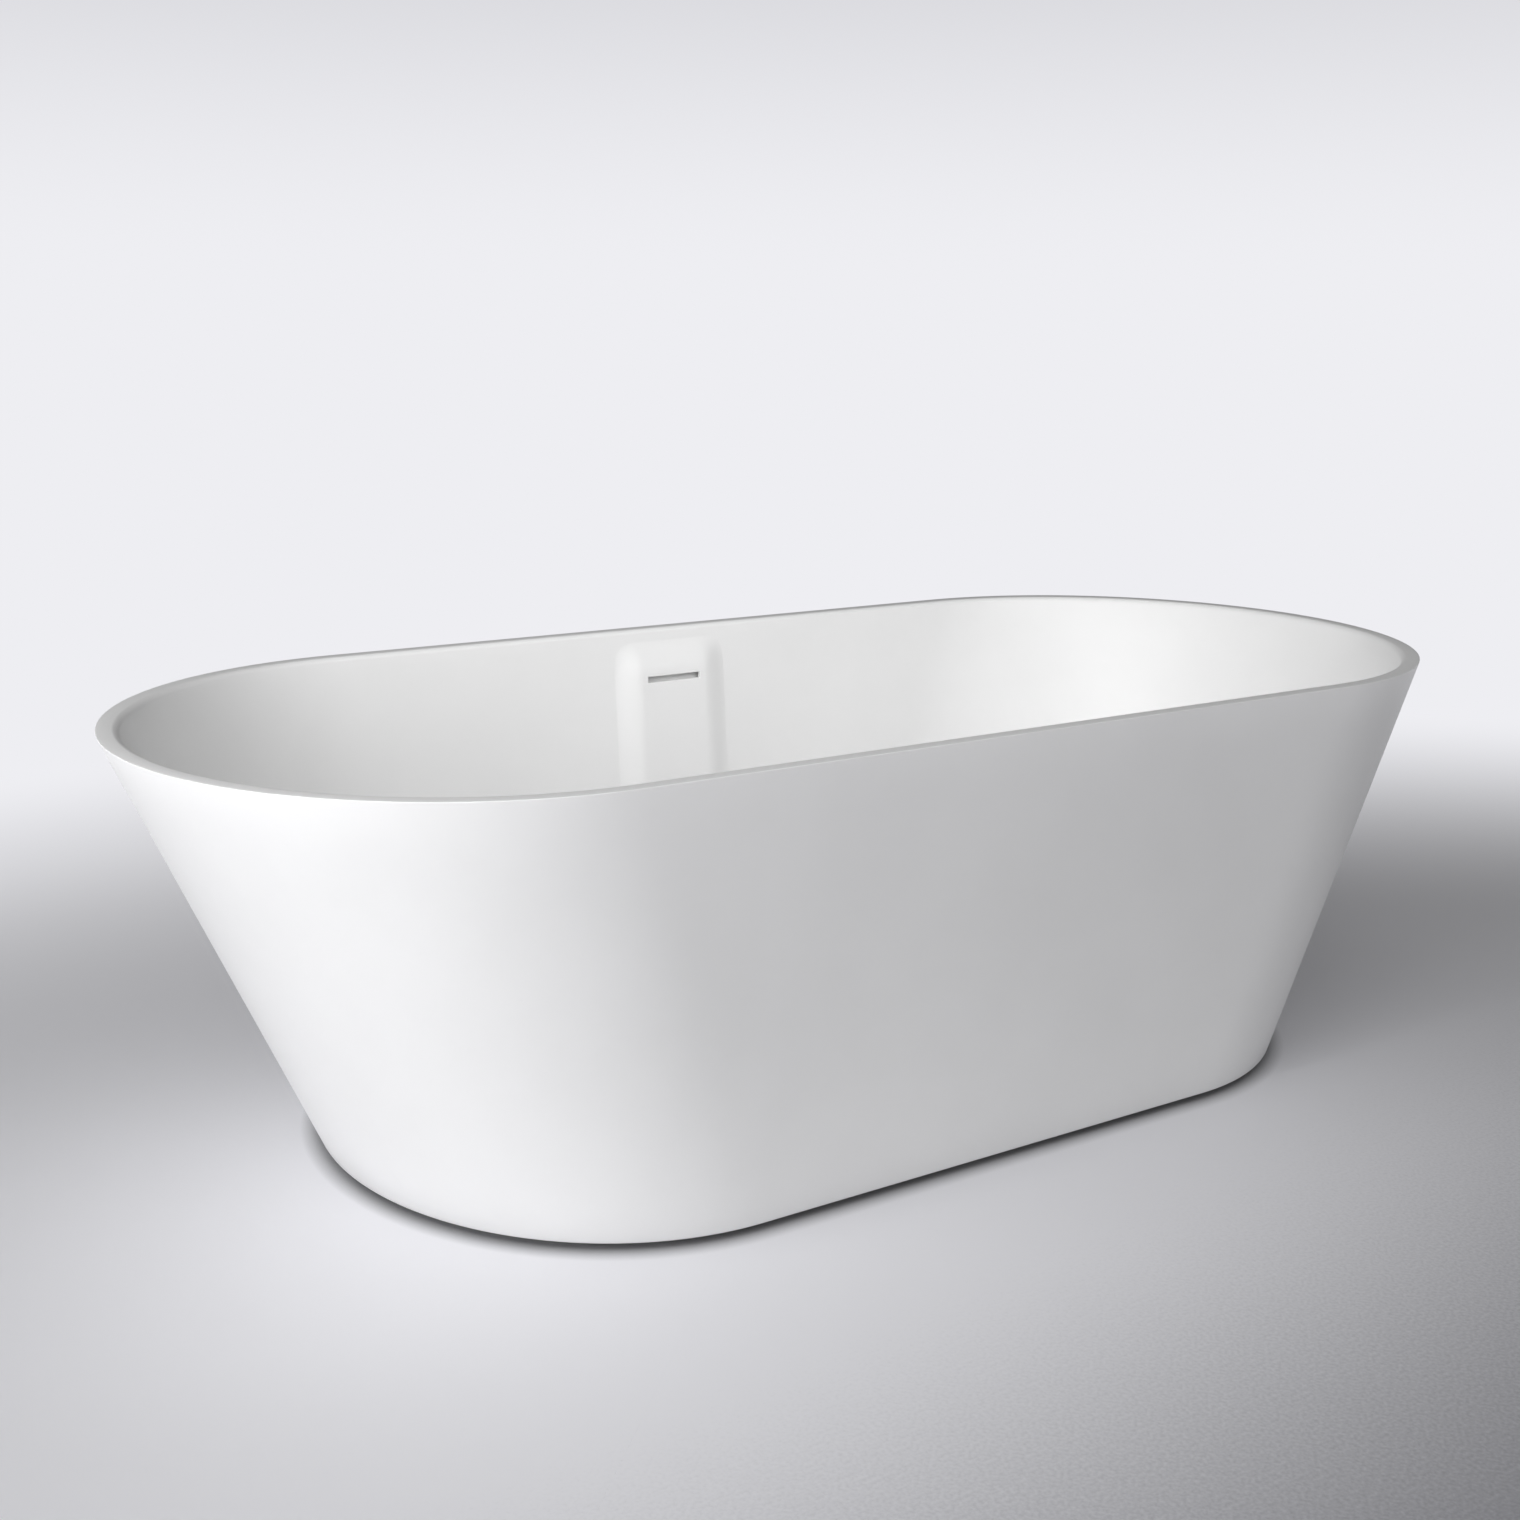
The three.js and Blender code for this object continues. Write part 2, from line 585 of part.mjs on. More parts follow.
const railZ = RAIL.low + RAIL.size / 2;
const blockHeight = UNDERSIDE - RAIL_TOP - 2 * GAP;
const blockZ = RAIL_TOP + GAP + blockHeight / 2;
for (const [row, side] of [["front", -1], ["rear", 1]]) {
  const y = side * RAIL.y;
  add(`frame_rail_${row}`, rail(), "frameSteel", 0, y, railZ);
  BLOCK.places.forEach((x, i) => {
    const shape = block(BLOCK.length, BLOCK.width, blockHeight, 0, 0, 0);
    add(`bonding_block_${row}_${i + 1}`, shape, "bondingBlock", x, y, blockZ);
  });
  for (const [end, direction] of [["left", -1], ["right", 1]]) {
    const tag = `${row}_${end}`;
    const cap = add(`rail_cap_${tag}`, railCap(), "blackPlastic", (direction * RAIL.length) / 2, y, railZ);
    cap.rotation.z = direction > 0 ? 0 : Math.PI;
    add(`foot_pad_${tag}`, footPad(), "blackRubber", direction * FOOT.x, y);
    add(`foot_stud_${tag}`, footStud(), "zincSteel", direction * FOOT.x, y);
    add(`foot_lock_nut_${tag}`, footLockNut(), "zincSteel", direction * FOOT.x, y);
    add(`foot_insert_${tag}`, footInsert(), "zincSteel", direction * FOOT.x, y);
  }
}
const crossbarLength = 2 * RAIL.y - RAIL.size - 2 * GAP;
for (const [end, direction] of [["left", -1], ["right", 1]]) {
  const crossbar = squareTube(crossbarLength);
  const bar = add(`frame_crossbar_${end}`, crossbar, "frameSteel", direction * CROSSBAR_X, 0, railZ);
  bar.rotation.z = Math.PI / 2;
}

export default bathtub;
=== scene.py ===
"""Looks of a freestanding solid-surface bathtub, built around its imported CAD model.

Every length in the classes is in millimetres unless its name says otherwise; meshes are made in metres.
"""

import logging
import math
from dataclasses import dataclass, field
from enum import Enum
from typing import ClassVar, Optional, Sequence, Union

import bmesh
import bpy
from mathutils import Matrix, Vector


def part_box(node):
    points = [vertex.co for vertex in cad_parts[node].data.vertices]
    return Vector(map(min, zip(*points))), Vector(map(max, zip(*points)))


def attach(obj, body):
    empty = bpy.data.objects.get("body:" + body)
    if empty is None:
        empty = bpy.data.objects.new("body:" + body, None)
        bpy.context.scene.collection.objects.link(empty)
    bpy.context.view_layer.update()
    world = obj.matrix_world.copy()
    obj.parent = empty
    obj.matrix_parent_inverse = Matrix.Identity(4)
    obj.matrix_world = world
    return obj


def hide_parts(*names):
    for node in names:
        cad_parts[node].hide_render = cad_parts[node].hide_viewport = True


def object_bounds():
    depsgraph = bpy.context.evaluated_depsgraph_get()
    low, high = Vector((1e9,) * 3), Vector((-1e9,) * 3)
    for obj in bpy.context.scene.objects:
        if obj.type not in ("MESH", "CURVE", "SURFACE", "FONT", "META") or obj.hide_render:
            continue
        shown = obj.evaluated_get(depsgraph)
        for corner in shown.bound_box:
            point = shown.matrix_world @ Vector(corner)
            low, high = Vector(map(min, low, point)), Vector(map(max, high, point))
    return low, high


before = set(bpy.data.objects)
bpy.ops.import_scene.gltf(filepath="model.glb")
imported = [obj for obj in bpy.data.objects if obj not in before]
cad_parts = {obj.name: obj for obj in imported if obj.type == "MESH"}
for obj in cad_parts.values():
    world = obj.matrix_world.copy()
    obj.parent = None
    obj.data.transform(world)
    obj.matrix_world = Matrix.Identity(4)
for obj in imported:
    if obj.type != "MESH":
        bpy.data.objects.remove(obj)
CAD_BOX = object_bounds()

MM = 0.001
QUARTER = math.pi / 2
SHARP_DEGREES = 35
SAME_POINT = 1e-7
LOG = logging.getLogger("bathtub")
TUB_BODY = "tub"
PLUG_BODY = "plug"
Ring = list[Vector]
NodeInput = Union[float, Sequence[float], bpy.types.NodeSocket]


# ---------------------------------------------------------------- finishes


def linear(hex_colour: str) -> tuple[float, float, float, float]:
    """Turn an sRGB hex value into a linear colour.

    Args:
        hex_colour: six hex digits, such as "F0F0EE".

    Returns:
        Linear red, green and blue, with an alpha of 1.
    """
    channels = [int(hex_colour[i:i + 2], 16) / 255 for i in (0, 2, 4)]
    turned = [c / 12.92 if c <= 0.04045 else ((c + 0.055) / 1.055) ** 2.4 for c in channels]
    return (*turned, 1.0)


def add_node(tree: bpy.types.NodeTree, kind: str, inputs: Optional[dict[str, NodeInput]] = None,
             **settings: object) -> bpy.types.Node:
    """Add one shader node with its settings, and link or set its inputs.

    Args:
        tree: the node tree that gets the node.
        kind: Blender's type name of the node.
        inputs: what each named input takes: another node's output socket, or a plain value.
        **settings: properties of the node itself.

    Returns:
        The new node.
    """
    node = tree.nodes.new(kind)
    for name, value in settings.items():
        setattr(node, name, value)
    for name, value in (inputs or {}).items():
        if isinstance(value, bpy.types.NodeSocket):
            tree.links.new(value, node.inputs[name])
        else:
            node.inputs[name].default_value = value
    return node


class Grain(Enum):
    """The kinds of fine relief that the finishes have."""

    SANDED = "fine random scratches and pores"
    PEEL = "soft bumps of a melted or plated coat"
    CELLS = "open cells of a foamed board"


@dataclass(frozen=True)
class Finish:
    """A surface: what the material is, and how it was made.

    The colour drifts between two close shades, the roughness between two values, and the relief is a bump
    of a real depth at a real spacing.
    """

    # How far the drift pattern has to fall and to rise for the shade and the roughness to be all one or the
    # other: its values crowd round a half.
    SHADE_TURNS: ClassVar[tuple[float, float]] = (0.35, 0.65)
    ROUGHNESS_TURNS: ClassVar[tuple[float, float]] = (0.3, 0.7)

    name: str
    shade: str
    other_shade: str
    roughness: tuple[float, float]
    drift_mm: float
    grain: Grain
    grain_mm: float
    depth_mm: float
    metallic: float = 0.0
    ior: float = 1.5
    coat: float = 0.0
    coat_roughness: float = 0.1

    def material(self) -> bpy.types.Material:
        """Return this finish's material, making it at its first use."""
        made = bpy.data.materials.get(self.name)
        return made if made else self._make()

    def _make(self) -> bpy.types.Material:
        """Build the node material.

        Returns:
            The new material.
        """
        material = bpy.data.materials.new(self.name)
        material.use_nodes = True
        tree = material.node_tree
        tree.nodes.clear()
        place = add_node(tree, "ShaderNodeTexCoord").outputs["Object"]
        drift = add_node(tree, "ShaderNodeTexNoise",
                         {"Vector": place, "Scale": 1 / (self.drift_mm * MM), "Detail": 4.0})
        colour = self._colour(tree, drift.outputs["Fac"])
        relief = self._relief(tree, place)
        start, end = self.ROUGHNESS_TURNS
        rough = add_node(tree, "ShaderNodeMapRange",
                         {"Value": drift.outputs["Fac"], "From Min": start, "From Max": end,
                          "To Min": self.roughness[0], "To Max": self.roughness[1]})
        bump = add_node(tree, "ShaderNodeBump",
                        {"Height": relief, "Distance": self.depth_mm * MM, "Strength": 1.0})
        shader = add_node(tree, "ShaderNodeBsdfPrincipled",
                          {"Base Color": colour, "Roughness": rough.outputs["Result"],
                           "Metallic": self.metallic, "IOR": self.ior, "Coat Weight": self.coat,
                           "Coat Roughness": self.coat_roughness, "Normal": bump.outputs["Normal"]})
        add_node(tree, "ShaderNodeOutputMaterial", {"Surface": shader.outputs["BSDF"]})
        return material

    def _colour(self, tree: bpy.types.NodeTree, share: bpy.types.NodeSocket) -> bpy.types.NodeSocket:
        """Blend the two shades by a share.

        Args:
            tree: the material's node tree.
            share: the socket that drives the blend.

        Returns:
            The blended colour's socket.
        """
        ramp = add_node(tree, "ShaderNodeValToRGB", {"Fac": share})
        low, high = ramp.color_ramp.elements
        low.position, high.position = self.SHADE_TURNS
        low.color, high.color = linear(self.shade), linear(self.other_shade)
        return ramp.outputs["Color"]

    def _relief(self, tree: bpy.types.NodeTree, place: bpy.types.NodeSocket) -> bpy.types.NodeSocket:
        """Make the height pattern of this finish's grain.

        Args:
            tree: the material's node tree.
            place: the object coordinates.

        Returns:
            The height's socket.
        """
        scale = 1 / (self.grain_mm * MM)
        if self.grain is Grain.CELLS:
            cells = add_node(tree, "ShaderNodeTexVoronoi", {"Vector": place, "Scale": scale})
            return cells.outputs["Distance"]
        detail = 6.0 if self.grain is Grain.SANDED else 1.0
        noise = add_node(tree, "ShaderNodeTexNoise", {"Vector": place, "Scale": scale, "Detail": detail})
        return noise.outputs["Fac"]


# Mineral-filled acrylic resin, cast in a mould and wet-sanded by hand: a dense white with a soft satin sheen.
# The sanding marks are under 0.1 mm apart and are drawn at 0.9 mm, so that they show.
SOLID_SURFACE = Finish("solid_surface_sanded", "F1F1F1", "EEEEEE", (0.36, 0.42), 180, Grain.SANDED, 0.9, 0.01)
# The same resin on the back of the casting, which nobody sands: dull, with pores left by air at the mould.
CAST_BACK = Finish("solid_surface_raw_back", "DEDCD6", "D3D0C8", (0.75, 0.9), 60, Grain.CELLS, 4.0, 0.12)
# Brass plated with bright chrome: a mirror with faint wiping marks.
CHROME = Finish("chrome_plated_brass", "D8DADD", "CFD2D6", (0.05, 0.12), 25, Grain.PEEL, 6.0, 0.002,
                metallic=1.0)
# Turned steel with bright zinc plating: a cool grey sheen, a little cloudy.
ZINC = Finish("bright_zinc_steel", "B9BDC1", "A3A8AE", (0.26, 0.42), 6, Grain.SANDED, 0.5, 0.004,
              metallic=1.0)
# Steel tube with a black polyester powder coat: low gloss, with the orange peel of melted powder.
POWDER_COAT = Finish("black_powder_coat", "2B2D2F", "313335", (0.4, 0.52), 30, Grain.PEEL, 1.6, 0.03,
                     coat=0.15, coat_roughness=0.3)
# Injection-moulded polypropylene: waxy, with the spark-eroded grain of the tool.
WHITE_PP = Finish("white_moulded_polypropylene", "E8E9E7", "E2E4E3", (0.32, 0.42), 20, Grain.PEEL, 0.7, 0.01)
GREY_PP = Finish("grey_moulded_polypropylene", "8C9195", "83888D", (0.36, 0.48), 20, Grain.PEEL, 0.7, 0.012)
BLACK_PP = Finish("black_moulded_polypropylene", "1D1E20", "252628", (0.38, 0.52), 15, Grain.PEEL, 0.6, 0.015)
# Moulded nitrile rubber: dull black with a dusty bloom.
RUBBER = Finish("nitrile_rubber", "1E1E1F", "29292A", (0.72, 0.88), 8, Grain.SANDED, 0.5, 0.02)
# Cut polyurethane board, glued between the bowl and the frame: open cells, straw-coloured.
BOARD = Finish("polyurethane_board", "C8BC9F", "B9AC8E", (0.82, 0.95), 12, Grain.CELLS, 1.4, 0.25)
# Cured polyurethane adhesive, squeezed out and tooled: off-white, rubbery.
ADHESIVE = Finish("polyurethane_adhesive", "D9D6CC", "CFCBBF", (0.5, 0.65), 10, Grain.PEEL, 3.0, 0.15)


# ---------------------------------------------------------------- mesh tools


def begin_ring(bm: bmesh.types.BMesh, ring: Ring) -> list[bmesh.types.BMEdge]:
    """Draw one closed ring of edges and number its points.

    Args:
        bm: the mesh to draw in.
        ring: the ring's points, in metres.

    Returns:
        The ring's edges.
    """
    station = bm.verts.layers.int.get("station") or bm.verts.layers.int.new("station")
    verts = [bm.verts.new(point) for point in ring]
    for number, vert in enumerate(verts):
        vert[station] = number
    return [bm.edges.new((vert, verts[(k + 1) % len(verts)])) for k, vert in enumerate(verts)]


def loft(rings: Sequence[Ring], wrap: bool = False, caps: bool = False,
         bands: Sequence[int] = ()) -> bmesh.types.BMesh:
    """Extrude one ring through all the others.

    Args:
        rings: rings of equal length, in order along the surface.
        wrap: whether the last ring joins the first, as on a hollow part.
        caps: whether the first and last rings are closed with faces.
        bands: the material number of the faces that follow each ring; none means 0.

    Returns:
        A mesh with its normals pointing out.
    """
    bm = bmesh.new()
    edges = begin_ring(bm, rings[0])
    station = bm.verts.layers.int["station"]
    if caps:
        bmesh.ops.edgeloop_fill(bm, edges=edges)
    for number, ring in enumerate([*rings[1:], *([rings[0]] if wrap else [])]):
        grown = bmesh.ops.extrude_edge_only(bm, edges=edges)["geom"]
        fresh = {item for item in grown if isinstance(item, bmesh.types.BMVert)}
        for vert in fresh:
            vert.co = ring[vert[station]]
        edges = [item for item in grown if isinstance(item, bmesh.types.BMEdge) and set(item.verts) <= fresh]
        for face in (item for item in grown if isinstance(item, bmesh.types.BMFace)):
            face.material_index = bands[number] if bands else 0
    if caps:
        bmesh.ops.edgeloop_fill(bm, edges=edges)
    bmesh.ops.remove_doubles(bm, verts=bm.verts[:], dist=SAME_POINT)
    bmesh.ops.recalc_face_normals(bm, faces=bm.faces[:])
    return bm


def turned(profile: Sequence[tuple[float, float]], steps: int = 64) -> bmesh.types.BMesh:
    """Spin a profile about the Z axis.

    Args:
        profile: (radius, height) corners in millimetres; it ends on the axis, or closes on itself.
        steps: sides of the turned part.

    Returns:
        A closed mesh with its normals pointing out.
    """
    bm = bmesh.new()
    verts = [bm.verts.new((radius * MM, 0, height * MM)) for radius, height in profile]
    on_axis = profile[0][0] == 0 and profile[-1][0] == 0
    pairs = list(zip(verts, verts[1:])) + ([] if on_axis else [(verts[-1], verts[0])])
    edges = [bm.edges.new(pair) for pair in pairs]
    bmesh.ops.spin(bm, geom=[*verts, *edges], cent=(0, 0, 0), axis=(0, 0, 1), angle=math.tau, steps=steps,
                   use_merge=True)
    bmesh.ops.remove_doubles(bm, verts=bm.verts[:], dist=SAME_POINT)
    bmesh.ops.recalc_face_normals(bm, faces=bm.faces[:])
    return bm


def round_edges(bm: bmesh.types.BMesh, edges: list, width_mm: float, segments: int) -> None:
    """Round the given edges to a width in millimetres."""
    bmesh.ops.bevel(bm, geom=edges, offset=width_mm * MM, offset_type="OFFSET", segments=segments,
                    profile=0.5, affect="EDGES", clamp_overlap=True, material=-1)


def softened(bm: bmesh.types.BMesh, width_mm: float, segments: int = 2) -> bmesh.types.BMesh:
    """Round every sharp edge of a mesh.

    Args:
        bm: the mesh to work on.
        width_mm: width of the rounding.
        segments: facets across it.

    Returns:
        The same mesh.
    """
    limit = math.radians(SHARP_DEGREES)
    sharp = [edge for edge in bm.edges if len(edge.link_faces) == 2 and edge.calc_face_angle() > limit]
    round_edges(bm, sharp, width_mm, segments)
    return bm


def move(bm: bmesh.types.BMesh, matrix: Matrix) -> bmesh.types.BMesh:
    """Transform a whole mesh and return it."""
    bmesh.ops.transform(bm, matrix=matrix, verts=bm.verts[:])
    return bm


def at(x: float, y: float, z: float) -> Matrix:
    """Translation by a distance in millimetres."""
    return Matrix.Translation(Vector((x, y, z)) * MM)


def towards_left(z: float) -> Matrix:
    """Turn a part made along +Z so that it runs along -X at a height in millimetres."""
    return at(0, 0, z) @ Matrix.Rotation(-QUARTER, 4, "Y")


def towards_rear(z: float) -> Matrix:
    """Turn a part made along +Z so that it runs along +Y at a height in millimetres."""
    return at(0, 0, z) @ Matrix.Rotation(-QUARTER, 4, "X")


def merged(*parts: bmesh.types.BMesh) -> bmesh.types.BMesh:
    """Put several closed shells into one mesh.

    Args:
        *parts: the shells, which are used up.

    Returns:
        One mesh that holds them all.
    """
    whole = bmesh.new()
    for part in parts:
        holder = bpy.data.meshes.new("holder")
        part.to_mesh(holder)
        part.free()
        whole.from_mesh(holder)
        bpy.data.meshes.remove(holder)
    return whole


@dataclass(frozen=True)
class Piece:
    """Where a finished mesh goes: its name, its slot, the CAD nodes that it stands for and its body."""

    name: str
    slot: str
    replaces: tuple[str, ...] = ()
    body: str = TUB_BODY

    def place(self, bm: bmesh.types.BMesh, *finishes: Finish,
              crease: float = SHARP_DEGREES) -> bpy.types.Object:
        """Make the object, dress it and tie it to the frame.

        Args:
            bm: the finished mesh, which is used up.
            *finishes: the finishes, in the order of the faces' material numbers.
            crease: the angle in degrees past which an edge is drawn sharp.

        Returns:
            The new object.
        """
        mesh = bpy.data.meshes.new(self.name)
        bm.to_mesh(mesh)
        bm.free()
        if "station" in mesh.attributes:
            mesh.attributes.remove(mesh.attributes["station"])
        mesh.shade_smooth()
        mesh.set_sharp_from_angle(angle=math.radians(crease))
        for finish in finishes:
            mesh.materials.append(finish.material())
        piece = bpy.data.objects.new(self.name, mesh)
        bpy.context.scene.collection.objects.link(piece)
        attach(piece, self.body)
        if self.replaces:
            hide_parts(*self.replaces)
        LOG.info("%s: %d faces on %s", self.name, len(mesh.polygons), self.body)
        return piece


def span(node: str) -> tuple[Vector, Vector]:
    """Lowest and highest corner of a CAD node's box, in millimetres."""
    low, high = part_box(node)
    return low / MM, high / MM


def washer(inner: float, outer: float, low: float, high: float) -> list[tuple[float, float]]:
    """Profile of a plain ring."""
    return [(inner, low), (outer, low), (outer, high), (inner, high)]


def quarter(radius: float, height: float, wide: float, tall: float) -> list[tuple[float, float]]:
    """Profile of a quarter ellipse, from its outermost point up to its top.

    Args:
        radius: radius of its centre.
        height: height of its centre.
        wide: its half-width.
        tall: its half-height.

    Returns:
        Seven points along it.
    """
    turns = [QUARTER * k / 6 for k in range(7)]
    return [(radius + wide * math.cos(turn), height + tall * math.sin(turn)) for turn in turns]


def ease(value: float, start: float, end: float) -> float:
    """Rise softly from 0 at the start to 1 at the end, as an S-curve; the start may be the larger one."""
    share = min(max((value - start) / (end - start), 0), 1)
    return share * share * (3 - 2 * share)


def threads(radius: float, low: float, high: float, pitch: float, depth: float) -> list[tuple[float, float]]:
    """Profile of a threaded stretch.

    Args:
        radius: radius over the crests.
        low: height where the thread starts.
        high: height where it ends.
        pitch: distance between crests.
        depth: depth of the thread.

    Returns:
        The corners from low to high, both ends on the crest.
    """
    turns = int((high - low) / pitch)
    crests = [(radius, low + pitch * k) for k in range(turns)]
    roots = [(radius - depth, low + pitch * (k + 0.5)) for k in range(turns)]
    return [corner for pair in zip(crests, roots) for corner in pair] + [(radius, high)]


def rounded_square(half: float, radius: float, across: float, points: int = 6) -> Ring:
    """A square ring with round corners in the YZ plane.

    Args:
        half: half of its side.
        radius: radius of its corners.
        across: its place along X.
        points: facets of each corner.

    Returns:
        The ring, in metres.
    """
    ring = []
    for number in range(4):
        for k in range(points + 1):
            turn = QUARTER * (number + k / points)
            corner = QUARTER * (number + 0.5)
            y = math.copysign(half - radius, math.cos(corner)) + radius * math.cos(turn)
            z = math.copysign(half - radius, math.sin(corner)) + radius * math.sin(turn)
            ring.append(Vector((across, y, z)) * MM)
    return ring


def hexagon_rings(flats: float, low: float, high: float, chamfer: float, bore: float = 0) -> list[Ring]:
    """Rings of a nut whose corners are chamfered at both ends.

    Args:
        flats: distance between two opposite flats.
        low: height of its lower face.
        high: height of its upper face.
        chamfer: height of the chamfer.
        bore: radius of a plain bore; 0 leaves the nut without one.

    Returns:
        Rings from the lower face up, and down again through the bore.
    """
    facets = 96
    turns = [math.tau * k / facets for k in range(facets)]

    def ring(limit: float, height: float) -> Ring:
        """Make one level of the hexagon.

        Args:
            limit: radius past which its corners are cut off.
            height: its height.

        Returns:
            The ring, in metres.
        """
        level = []
        for turn in turns:
            from_flat = (turn + math.pi / 6) % (math.pi / 3) - math.pi / 6
            radius = min(flats / 2 / math.cos(from_flat), limit)
            level.append(Vector((radius * math.cos(turn), radius * math.sin(turn), height)) * MM)
        return level

    narrow, wide = flats / 2 * 0.99, flats
    levels = [(narrow, low), (wide, low + chamfer), (wide, high - chamfer), (narrow, high)]
    rings = [ring(limit, height) for limit, height in levels]
    return rings + ([ring(bore, high), ring(bore, low)] if bore else [])


def grip(bm: bmesh.types.BMesh, outer: float, grooves: int, depth: float) -> bmesh.types.BMesh:
    """Press finger grooves into the outer face of a part turned about Z.

    Args:
        bm: the mesh to work on.
        outer: its outer radius.
        grooves: how many grooves it gets.
        depth: their depth.

    Returns:
        The same mesh.
    """
    for vert in bm.verts:
        radius = vert.co.xy.length / MM
        if radius > outer - depth:
            turn = math.atan2(vert.co.y, vert.co.x)
            groove = depth * max(0.0, math.cos(grooves * turn)) ** 3
            vert.co.xy *= (radius - groove) / radius
    return bm


def brick(low: Vector, high: Vector, edge_mm: float) -> bmesh.types.BMesh:
    """Make a box with rounded edges.

    Args:
        low: its lowest corner, in millimetres.
        high: its highest corner.
        edge_mm: width of the rounding.

    Returns:
        The closed box.
    """
    bm = bmesh.new()
    size = Matrix.Diagonal((*((high - low) * MM), 1))
    bmesh.ops.create_cube(bm, size=1, matrix=at(*((low + high) / 2)) @ size)
    return softened(bm, edge_mm)


# ---------------------------------------------------------------- the tub


@dataclass(frozen=True)
class Outline:
    """The tub's plan: straight sides with elliptical ends, which narrows evenly from rim to base."""

    rim_height: float = round(CAD_BOX[1][2] / MM)
    rim_length: float = round(2 * CAD_BOX[1][0] / MM)
    rim_width: float = round(2 * CAD_BOX[1][1] / MM)
    rim_cap: float = 377
    base_height: float = round(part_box("tub_shell")[0].z / MM)
    base_length: float = 1272
    base_width: float = 716
    base_cap: float = 320
    cap_points: int = 90
    side_points: int = 30

    def half_sizes(self, height: float, inset: float = 0) -> tuple[float, float, float]:
        """Half of the straight side, depth of the end and half of the width, at a height.

        Args:
            height: in millimetres above the floor.
            inset: how far the outline is moved inwards.

        Returns:
            The three sizes in millimetres.
        """
        rise = (height - self.base_height) / (self.rim_height - self.base_height)
        pairs = (
            (self.base_length / 2 - self.base_cap, self.rim_length / 2 - self.rim_cap),
            (self.base_cap - inset, self.rim_cap - inset),
            (self.base_width / 2 - inset, self.rim_width / 2 - inset),
        )
        straight, cap, half = (low + (high - low) * rise for low, high in pairs)
        return straight, cap, half

    def ring(self, height: float, inset: float = 0) -> Ring:
        """Make the outline at a height.

        Args:
            height: in millimetres above the floor.
            inset: how far the outline is moved inwards.

        Returns:
            The ring, in metres.
        """
        straight, cap, half = self.half_sizes(height, inset)
        points = []
        for side in (1, -1):
            for k in range(self.cap_points):
                turn = math.pi * (k / self.cap_points - 0.5)
                along = straight + cap * math.cos(turn)
                points.append((side * along, side * half * math.sin(turn), height))
            for k in range(self.side_points):
                points.append((side * straight * (1 - 2 * k / self.side_points), side * half, height))
        return [Vector(point) * MM for point in points]


